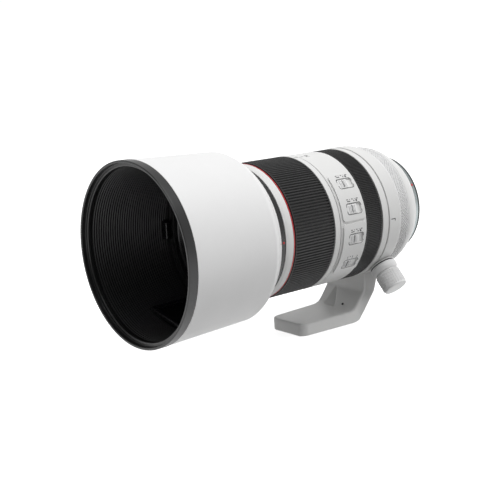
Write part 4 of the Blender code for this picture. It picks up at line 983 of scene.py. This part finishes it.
class LENS_OT_mount(bpy.types.Operator):
    """Builds the camera mount: flange, bayonet lugs, screws, contacts, baffle and rear glass"""
    bl_idname = "lens.mount"
    bl_label = "Camera mount"

    def execute(self, context):
        front, rear, radius = reach("mount_flange")
        face = rear - 5.5
        spigot_r, throat_r = 24.8, 23.4
        outer = radius - 1.0
        profile = [(front, throat_r), (front, radius), (front + 0.9, radius), (front + 1.3, outer + 0.1),
                   (face - 1.4, outer), (face, outer - 1.4), (face, spigot_r), (face + 1.6, spigot_r),
                   (rear - 2.6, spigot_r), (rear - 2.2, spigot_r), (rear - 0.4, spigot_r), (rear, spigot_r - 0.4),
                   (rear, throat_r)]

        def lugs(x, r, a):
            """Three lugs of 50 degrees, with ends that rise over 4 degrees."""
            turn = (np.degrees(a) - 30.0) % 120.0
            rise = np.clip(np.minimum(turn, 50.0 - turn) / 4.0, 0, 1)
            return 1.6 * rise * ((x > rear - 2.3) & (x < rear - 0.2) & (r > spigot_r - 0.5))

        profile = split_runs(rounded(profile, 0.12, 3), 2.0)
        piece("mount_flange_chromed", turned(profile, 360, lugs), "root", bright_mount(), "mount_flange",
              sharp=30)
        seal = [(face - 2.6, outer - 0.4), (face - 2.6, outer + 0.15), (face - 1.3, outer + 0.15),
                (face + 0.15, outer - 1.2), (face + 0.15, outer - 1.9), (face - 0.6, outer - 1.9)]
        piece("mount_seal", turned(rounded(seal, 0.15, 3), 192), "root", seal_rubber())
        self.screws(face, (outer + spigot_r) / 2 - 0.4)
        self.contacts()
        self.baffle_and_glass()
        return {"FINISHED"}

    def screws(self, face, circle):
        """Four countersunk screws, each a turned head whose cross recess is a dip along two lines."""
        parts = []
        for turn in np.radians([20.0, 75.0, 160.0, 250.0]):
            centre = swing(LENS_FRAME, np.array(face - 0.05), np.array(circle), np.array(turn))
            frame_of = np.array([centre, (1, 0, 0), (0, -1, 0), (0, 0, 1)])
            angle = np.linspace(0, 2 * np.pi, 32, endpoint=False)[None]
            radius = np.array([1.7, 1.7, 1.55, 1.2, 0.9, 0.6, 0.3])[:, None]
            height = np.array([-1.2, 0.05, 0.3, 0.38, 0.40, 0.42, 0.43])[:, None]
            near_cross = np.minimum(np.abs(np.cos(angle)), np.abs(np.sin(angle))) * radius < 0.24
            dip = 0.5 * (near_cross & (radius < 1.0))
            parts.append(skin(swing(frame_of, height - dip, radius, angle)))
        piece("mount_screws", parts, "root", stainless())

    def contacts(self):
        """Twelve small gold domes in an arc, on a curved nylon block."""
        low_x, high_x = (v.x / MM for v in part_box("contact_block"))
        pins = []
        for turn in np.linspace(-118, -62, 12):
            centre = swing(LENS_FRAME, np.array(high_x), np.array(21.7), np.radians(turn))
            frame_of = np.array([centre, (1, 0, 0), (0, -1, 0), (0, 0, 1)])
            s = np.linspace(0, np.pi / 2, 4)
            height, radius = np.append(-0.3, 0.5 * np.sin(s)), np.append(0.75, 0.75 * np.cos(s * 0.95))
            dome = np.stack([height, radius], -1)
            pins.append(turned(dome, 16, None, frame_of, loop=False))
        piece("mount_contacts", pins, "root", gold_plate())
        degrees_round = np.linspace(-125, -55, 60)
        x_lines = np.linspace(low_x, high_x, 8)
        throat = 23.1
        piece("contact_block_nylon", wall(x_lines, degrees_round, lambda x, a: throat + 0 * x,
              lambda x, a: throat - 2.6 + 0 * x), "root", black_nylon(), "contact_block", bevel=0.2)

    def baffle_and_glass(self):
        """The ridged black baffle in the throat, and the rear glass with r^2 domes."""
        front, rear, radius = reach("rear_baffle")
        bore = 18.5
        ridges = [(front + 0.25 + k * 0.35, bore + 0.25 * k + 0.22 * (k % 2)) for k in range(8)]
        outline = [(front, bore), (front, radius), (rear, radius), (rear, radius - 0.6)] + ridges[::-1]
        piece("rear_baffle_ridged", turned(rounded(outline, 0.08, 3), 128), "root", flat_black(), "rear_baffle",
              sharp=30)
        front, rear, radius = reach("rear_element")
        s = np.linspace(0.04, 1, 12)
        dome = np.stack([front + 1.4 * s ** 2, radius * s], -1)
        back = np.stack([rear - 0.8 * s[::-1] ** 2, radius * s[::-1]], -1)
        piece("rear_glass", turned(np.vstack([dome, back]), 96, loop=False), "root", coated_glass(), "rear_element")


# ---- tripod collar ----
def knob_frame():
    """The knob's axis runs out from the lens's axis, along the direction of its joint."""
    joint = next(j for j in frame["joints"] if j["name"] == "clamp_knob_turn")
    out = np.array(joint["axis"])
    return np.array([(joint["pos_m"][0] / MM, 0, AXIS_Z), out, (1, 0, 0), np.cross(out, (1, 0, 0))])


class LENS_OT_collar(bpy.types.Operator):
    """Builds the tripod collar, its boss and clamp lug, and the knurled clamp knob"""
    bl_idname = "lens.collar"
    bl_label = "Collar and knob"

    def execute(self, context):
        low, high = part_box("collar_ring")
        front, rear = low.x / MM, high.x / MM
        radius = (high.z - AXIS_Z * MM) / MM
        bore = radius - 2.5
        ring = [(front, bore), (front, radius), (rear, radius), (rear, bore)]
        piece("collar_ring_enamel", turned(split_runs(rounded(ring, [0.1, 0.5, 0.6, 0.1], 5), 3.0)), "collar",
              baked_enamel(), "collar_ring")
        axis = knob_frame()
        base = radius + 1.5
        half = 9.1
        boss = [(radius + 0.2, half - 0.5), (radius + 0.45, half), (base - 0.75, half), (base - 0.5, half - 0.3),
                (base - 0.45, half - 1.2)]
        piece("collar_boss", turned(boss, 64, None, axis, loop=False), "collar", baked_enamel())
        # Painted shade: a thin black ring under the knob's flange, where the gap round the flange's base shows only as
        # a dark line of shadow.
        gap_shade_ring = [(base - 0.48, 8.4), (base - 0.46, 8.7), (base - 0.04, 8.7), (base - 0.02, 8.4)]
        piece("clamp_gap_shade_ring", turned(gap_shade_ring, 64, None, axis, loop=False), "collar", black_nylon())
        self.knob(axis, base)
        return {"FINISHED"}

    def knob(self, axis, base):
        """The clamp knob, an outline spun about its own axis: a plain flange, a groove and a studded grip."""
        flange_h, grip_h, flange_r, grip_r = 5.4, 13.1, 9.5, 8.2
        top = base + flange_h + grip_h
        neck = base + flange_h
        outline = [(base, 0.3), (base, flange_r - 1.3), (base + 0.45, flange_r - 0.5), (base + 0.8, flange_r),
                   (neck - 2.4, flange_r),
                   (neck - 1.3, flange_r - 0.25), (neck - 0.5, flange_r - 0.85), (neck, grip_r - 0.05),
                   (neck + 0.05, grip_r - 1.2), (neck + 0.7, grip_r - 1.2), (neck + 0.9, grip_r - 0.1),
                   (neck + 1.05, grip_r)]
        rows = 40
        side = np.stack([np.linspace(neck + 1.2, top - 1.3, rows), np.full(rows, grip_r)], -1)
        crown = [(top - 0.9, grip_r), (top - 0.35, grip_r - 0.15), (top - 0.1, grip_r - 0.5), (top, grip_r - 1.2),
                 (top - 0.02, grip_r - 4.0), (top - 0.05, 0.4)]

        def dots(h, r, a):
            """Rows of small rounded studs, staggered: the product of two cosines, where it is above a third."""
            around, along = 38 * a, (h - neck - 1.2) * 2 * np.pi / 1.35
            wave = np.cos((around + along) / 2) * np.cos((around - along) / 2)
            live = (h > neck + 1.25) & (h < top - 1.35) & (r > grip_r - 0.01)
            return np.where(live, 0.75 * np.clip(np.abs(wave) * 1.8 - 0.9, -0.2, 0.85), 0.0)

        piece("clamp_knob_studded", turned(np.vstack([outline, side, crown]), 304, dots, axis, loop=False),
              "clamp_knob", moulded_abs(), "clamp_knob", sharp=32)


class LENS_OT_foot(bpy.types.Operator):
    """Builds the cast foot under the collar, with its screw bush"""
    bl_idname = "lens.foot"
    bl_label = "Foot"

    def execute(self, context):
        self.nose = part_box("collar_foot")[0].x / MM
        piece("collar_foot_cast", self.casting(), "collar", baked_enamel(), "collar_foot",
              sharp=60)
        self.bush()
        # Painted shade: a flat black disc standing slightly proud of the neck where its small screw hole is, in place
        # of the hole's shadow.
        slope = np.array([-0.72, 0.0, 0.69])
        hole = np.array([(self.nose + 48.6, -5.6, 11.6), slope, (0, 1, 0), np.cross(slope, (0, 1, 0))])
        hole_shade_disc = [(-0.8, 0.85), (0.10, 0.85), (0.16, 0.75), (0.16, 0.2)]
        piece("foot_hole_shade_disc", turned(hole_shade_disc, 32, None, hole, loop=False), "collar", flat_black())
        return {"FINISHED"}

    def casting(self):
        """A bar swept from the nose, back along the plate, round the heel and up the neck. Its back and front edges
        are outlines smoothed by a running mean. Each ring is a rectangle with rounded corners, and the neck's rings
        stretch up to meet the collar's underside, z = axis - sqrt(r^2 - y^2)."""
        nose = self.nose
        # distance behind the nose and height: underside and back of the bar, then its top and front
        back = np.array([(0, 0), (48.5, 0), (53.4, 1.0), (56.0, 5.0), (64.2, 20.8), (66.6, 29.5)])
        face = np.array([(0, 8.9), (43.0, 8.9), (47.2, 10.0), (49.8, 12.4), (56.8, 21.4), (57.6, 29.5)])
        knots = np.array([0.0, 0.50, 0.58, 0.65, 0.86, 1.0])
        t = np.linspace(0, 1, 401)
        edges = [np.stack([self.eased(t, knots, line[:, k]) for k in (0, 1)], -1) for line in (back, face)]
        middle, across = (edges[0] + edges[1]) / 2, edges[1] - edges[0]
        thick = np.linalg.norm(across, axis=1)
        half_w = np.interp(t, [0.0, 0.06, 0.5, 1.0], [15.4, 16.2, 18.2, 18.4])
        ease = np.clip(middle[:, 0] / 1.2, 0, 1)
        shrink = 1.2 * (1 - np.sqrt(1 - (1 - ease) ** 2))
        quarter = np.clip(middle[:, 0] / 6.0, 0, 1)
        half_w = half_w - 4.6 * (1 - np.sqrt(1 - (1 - quarter) ** 2)) - shrink * 0.3
        chosen = np.unique(np.concatenate([np.arange(0, 18), np.arange(18, 36, 3), np.arange(36, 401, 4)]))
        t, middle, across, thick, half_w, shrink = (v[chosen] for v in (t, middle, across, thick, half_w, shrink))
        flare = 5.6 * np.clip((t - 0.62) / 0.34, 0, 1)
        corner = 1.4
        n = 9
        arc = np.linspace(0, np.pi / 2, n)
        run = np.linspace(1, -1, 61)[1:-1]
        short = np.linspace(1, -1, 9)[1:-1]
        one, some, few = np.ones(n), np.ones(59), np.ones(7)
        side_y = np.concatenate([one, run, -one, -few, -one, -run, one, few])
        side_q = np.concatenate([one, some, one, short, -one, -some, -one, -short])
        arc_y = np.concatenate([np.cos(arc), 0 * run, -np.sin(arc), -few, -np.cos(arc), 0 * run, np.sin(arc), few])
        arc_q = np.concatenate([np.sin(arc), some, np.cos(arc), 0 * short,
                                -np.sin(arc), -some, -np.cos(arc), 0 * short])
        widened = half_w[:, None] + flare[:, None] * (1 - side_q) / 2
        y = side_y * (widened - corner) + corner * arc_y
        half_t = thick[:, None] / 2 - shrink[:, None]
        q = side_q * (half_t - corner) + corner * arc_q
        q = q - self.hollow(y, t[:, None]) * (side_q > 0.99) * (np.abs(side_y) < 1)
        xz = middle[:, None] + q[..., None] / thick[:, None, None] * across[:, None]
        x, z = nose + xz[..., 0], xz[..., 1]
        radius = (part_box("collar_ring")[1].z / MM - AXIS_Z) - 0.6
        saddle = AXIS_Z - np.sqrt(radius ** 2 - y ** 2)
        start = 0.86
        lift = np.clip((t[:, None] - start) / (1 - start), 0, 1)
        z = z + lift ** 1.5 * (saddle - z)
        return skin(np.stack([x, y, np.maximum(z, 0)], -1))

    def eased(self, t, knots, values):
        """Straight runs between knots, with the corners averaged over a short window."""
        line = np.interp(t, knots, values)
        width = 23
        padded = np.pad(line, width // 2, mode="reflect", reflect_type="odd")
        return np.convolve(padded, np.ones(width) / width, "valid")

    def hollow(self, y, t):
        """Depth of the hollow where plate and neck meet: a triangle that closes towards the collar, deepest and
        steepest along its near side."""
        rise = np.clip((t - 0.56) / 0.30, 0, 1)
        near, far = 0.5 + 7.0 * rise, 12.0 - 3.5 * rise
        across = np.clip((y - near) / np.maximum(far - near, 0.2), 0, 1)
        wedge = np.clip((y - near) / 1.0, 0, 1) * (1 - across)
        return 3.6 * wedge * np.clip((t - 0.53) / 0.05, 0, 1) * np.clip((0.87 - t) / 0.1, 0, 1)

    def bush(self):
        """A threaded steel bush, turned about an upright axis, its bore grooved every 1.27 mm."""
        low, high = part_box("tripod_bush")
        radius, top = (high.x - low.x) / 2 / MM, high.z / MM
        axis = np.array([((low.x + high.x) / 2 / MM, 0, 0), (0, 0, 1), (1, 0, 0), (0, 1, 0)])
        bore = 3.175
        grooves = [(0.5 + k * 0.635, bore - 0.45 * (k % 2)) for k in range(8)]
        outline = [(0.02, bore + 0.5), (0.02, radius - 0.3), (0.3, radius), (top, radius), (top, 0.3)]
        close = [(top - 1.4, 0.3), (top - 1.4, bore - 0.5)]
        piece("tripod_bush_threaded", turned(np.vstack([outline, close, grooves[::-1]]), 48, None, axis), "collar",
              stainless(), "tripod_bush", sharp=30)


class LENS_OT_inside(bpy.types.Operator):
    """Gives every CAD piece that still shows the finish of its material slot"""
    bl_idname = "lens.inside"
    bl_label = "Inside pieces"

    def execute(self, context):
        slots = {part["node"]: part["material_slot"] for part in frame["record"]["subparts"]}
        for name, obj in frame["nodes"].items():
            finish = CAD_FINISHES[slots[name]]()
            for slot in obj.material_slots:
                slot.material = finish
        return {"FINISHED"}


# ---- stage ----
class LENS_OT_stage(bpy.types.Operator):
    """Sets the pale floor, the soft studio light and the camera"""
    bl_idname = "lens.stage"
    bl_label = "Stage"

    def execute(self, context):
        stage = context.scene.lens_stage
        self.floor()
        self.world(context.scene)
        self.softbox("softbox_above", (0.05, -0.36, 1.10), (0, 0, 0.07), 0.6, stage.top_light)
        data = bpy.data.cameras.new("view")
        data.lens, data.sensor_width, data.clip_start = stage.focal_length, 36.0, 0.01
        camera = bpy.data.objects.new("view", data)
        context.collection.objects.link(camera)
        right, up = Vector((0.7634, -0.6443, -0.0462)), Vector((0.1704, 0.1318, 0.9765))
        turn = Matrix((right, up, right.cross(up))).transposed()
        camera.matrix_world = Matrix.Translation((-0.4537, -0.5233, 0.2092)) @ turn.to_4x4()
        context.scene.camera = camera
        context.scene.view_settings.view_transform = "Standard"
        return {"FINISHED"}

    def floor(self):
        """A wide thin disc just under the foot. It adds no light to the object itself."""
        rings = np.array([0.02, 0.5, 1.0, 2.0, 4.0, 8.0])[:, None]
        angle = np.linspace(0, 2 * np.pi, 64, endpoint=False)[None]
        top = swing(np.array([(0, 0, 0), (0, 0, 1), (1, 0, 0), (0, 1, 0)], float), 0.0 * rings, rings, angle)
        bottom = top[::-1] - np.array([0, 0, 0.02])
        points, quads, tris = skin(np.concatenate([top, bottom]))
        mesh = bpy.data.meshes.new("floor")
        mesh.from_pydata((points - np.array([0, 0, 0.0002])).tolist(), [], quads.tolist() + tris.tolist())
        floor = bpy.data.objects.new("floor", mesh)
        bpy.context.collection.objects.link(floor)
        made = bpy.data.materials.new("pale_studio_floor")
        made.use_nodes = True
        shader = made.node_tree.nodes["Principled BSDF"]
        shader.inputs["Base Color"].default_value = linear("#F4F4F4")
        shader.inputs["Roughness"].default_value = 0.9
        shader.inputs["Specular IOR Level"].default_value = 0.1
        shader.inputs["Emission Color"].default_value = (1, 1, 1, 1)
        shader.inputs["Emission Strength"].default_value = 0.75
        mesh.materials.append(made)
        floor.visible_diffuse = False

    def world(self, scene):
        """Light from all round by direction: white behind the lens at eye level, and dim ahead of it and below."""
        world = bpy.data.worlds.new("studio")
        world.use_nodes = True
        tree = world.node_tree
        where = tree.nodes.new("ShaderNodeTexCoord")
        parts = tree.nodes.new("ShaderNodeSeparateXYZ")
        ramp = tree.nodes.new("ShaderNodeValToRGB")
        shift = tree.nodes.new("ShaderNodeMapRange")
        tree.links.new(where.outputs["Generated"], parts.inputs[0])
        tree.links.new(parts.outputs["Z"], shift.inputs["Value"])
        shift.inputs["From Min"].default_value = -1.0
        tree.links.new(shift.outputs[0], ramp.inputs["Fac"])
        facing = tree.nodes.new("ShaderNodeVectorMath")
        facing.operation = "DOT_PRODUCT"
        facing.inputs[1].default_value = (0.95, 0.30, 0.0)
        dimmer = tree.nodes.new("ShaderNodeMapRange")
        for socket, value in (("From Min", -0.95), ("From Max", 0.55), ("To Min", 0.12), ("To Max", 1.0)):
            dimmer.inputs[socket].default_value = value
        tree.links.new(where.outputs["Generated"], facing.inputs[0])
        tree.links.new(facing.outputs["Value"], dimmer.inputs["Value"])
        tree.links.new(ramp.outputs[0], tree.nodes["Background"].inputs["Color"])
        # seen directly, the backdrop is plain white
        path = tree.nodes.new("ShaderNodeLightPath")
        strength = tree.nodes.new("ShaderNodeMath")
        strength.operation = "MAXIMUM"
        tree.links.new(dimmer.outputs[0], strength.inputs[0])
        tree.links.new(path.outputs["Is Camera Ray"], strength.inputs[1])
        tree.links.new(strength.outputs[0], tree.nodes["Background"].inputs["Strength"])
        stops = [(0.0, 0.42), (0.35, 0.75), (0.47, 1.03), (0.6, 1.03), (1.0, 0.7)]
        ramp.color_ramp.elements[0].position, ramp.color_ramp.elements[1].position = stops[0][0], stops[-1][0]
        for place, _ in stops[1:-1]:
            ramp.color_ramp.elements.new(place)
        for element, (_, level) in zip(ramp.color_ramp.elements, stops):
            element.color = (level, level, level, 1.0)
        scene.world = world

    def softbox(self, name, place, target, size, power):
        """A square area light that faces its target."""
        data = bpy.data.lights.new(name, "AREA")
        data.energy, data.size = power, size
        light = bpy.data.objects.new(name, data)
        light.location = place
        light.rotation_euler = (Vector(target) - Vector(place)).to_track_quat("-Z", "Y").to_euler()
        bpy.context.collection.objects.link(light)


STEPS = (LENS_OT_hood, LENS_OT_front_group, LENS_OT_zoom_ring, LENS_OT_switch_barrel, LENS_OT_focus_ring,
         LENS_OT_rear_barrel, LENS_OT_mount, LENS_OT_collar, LENS_OT_foot, LENS_OT_marks, LENS_OT_inside,
         LENS_OT_stage)


class LENS_PT_panel(bpy.types.Panel):
    """Lists the steps and their settings"""
    bl_idname = "LENS_PT_panel"
    bl_label = "Telephoto lens"
    bl_space_type = "VIEW_3D"
    bl_region_type = "UI"
    bl_category = "Lens"

    def draw(self, context):
        for group in (context.scene.lens_finish, context.scene.lens_detail, context.scene.lens_stage):
            for name in group.bl_rna.properties.keys():
                if name not in ("rna_type", "name"):
                    self.layout.prop(group, name)
        for step in STEPS:
            self.layout.operator(step.bl_idname)


CLASSES = (LensFinish, LensDetail, LensStage, *STEPS, LENS_PT_panel)


def register():
    for cls in CLASSES:
        bpy.utils.register_class(cls)
    bpy.types.Scene.lens_finish = PointerProperty(type=LensFinish)
    bpy.types.Scene.lens_detail = PointerProperty(type=LensDetail)
    bpy.types.Scene.lens_stage = PointerProperty(type=LensStage)


def unregister():
    del bpy.types.Scene.lens_finish, bpy.types.Scene.lens_detail, bpy.types.Scene.lens_stage
    for cls in reversed(CLASSES):
        bpy.utils.unregister_class(cls)


def main():
    register()
    for step in STEPS:
        group, name = step.bl_idname.split(".")
        getattr(getattr(bpy.ops, group), name)()


if __name__ == "__main__":
    main()
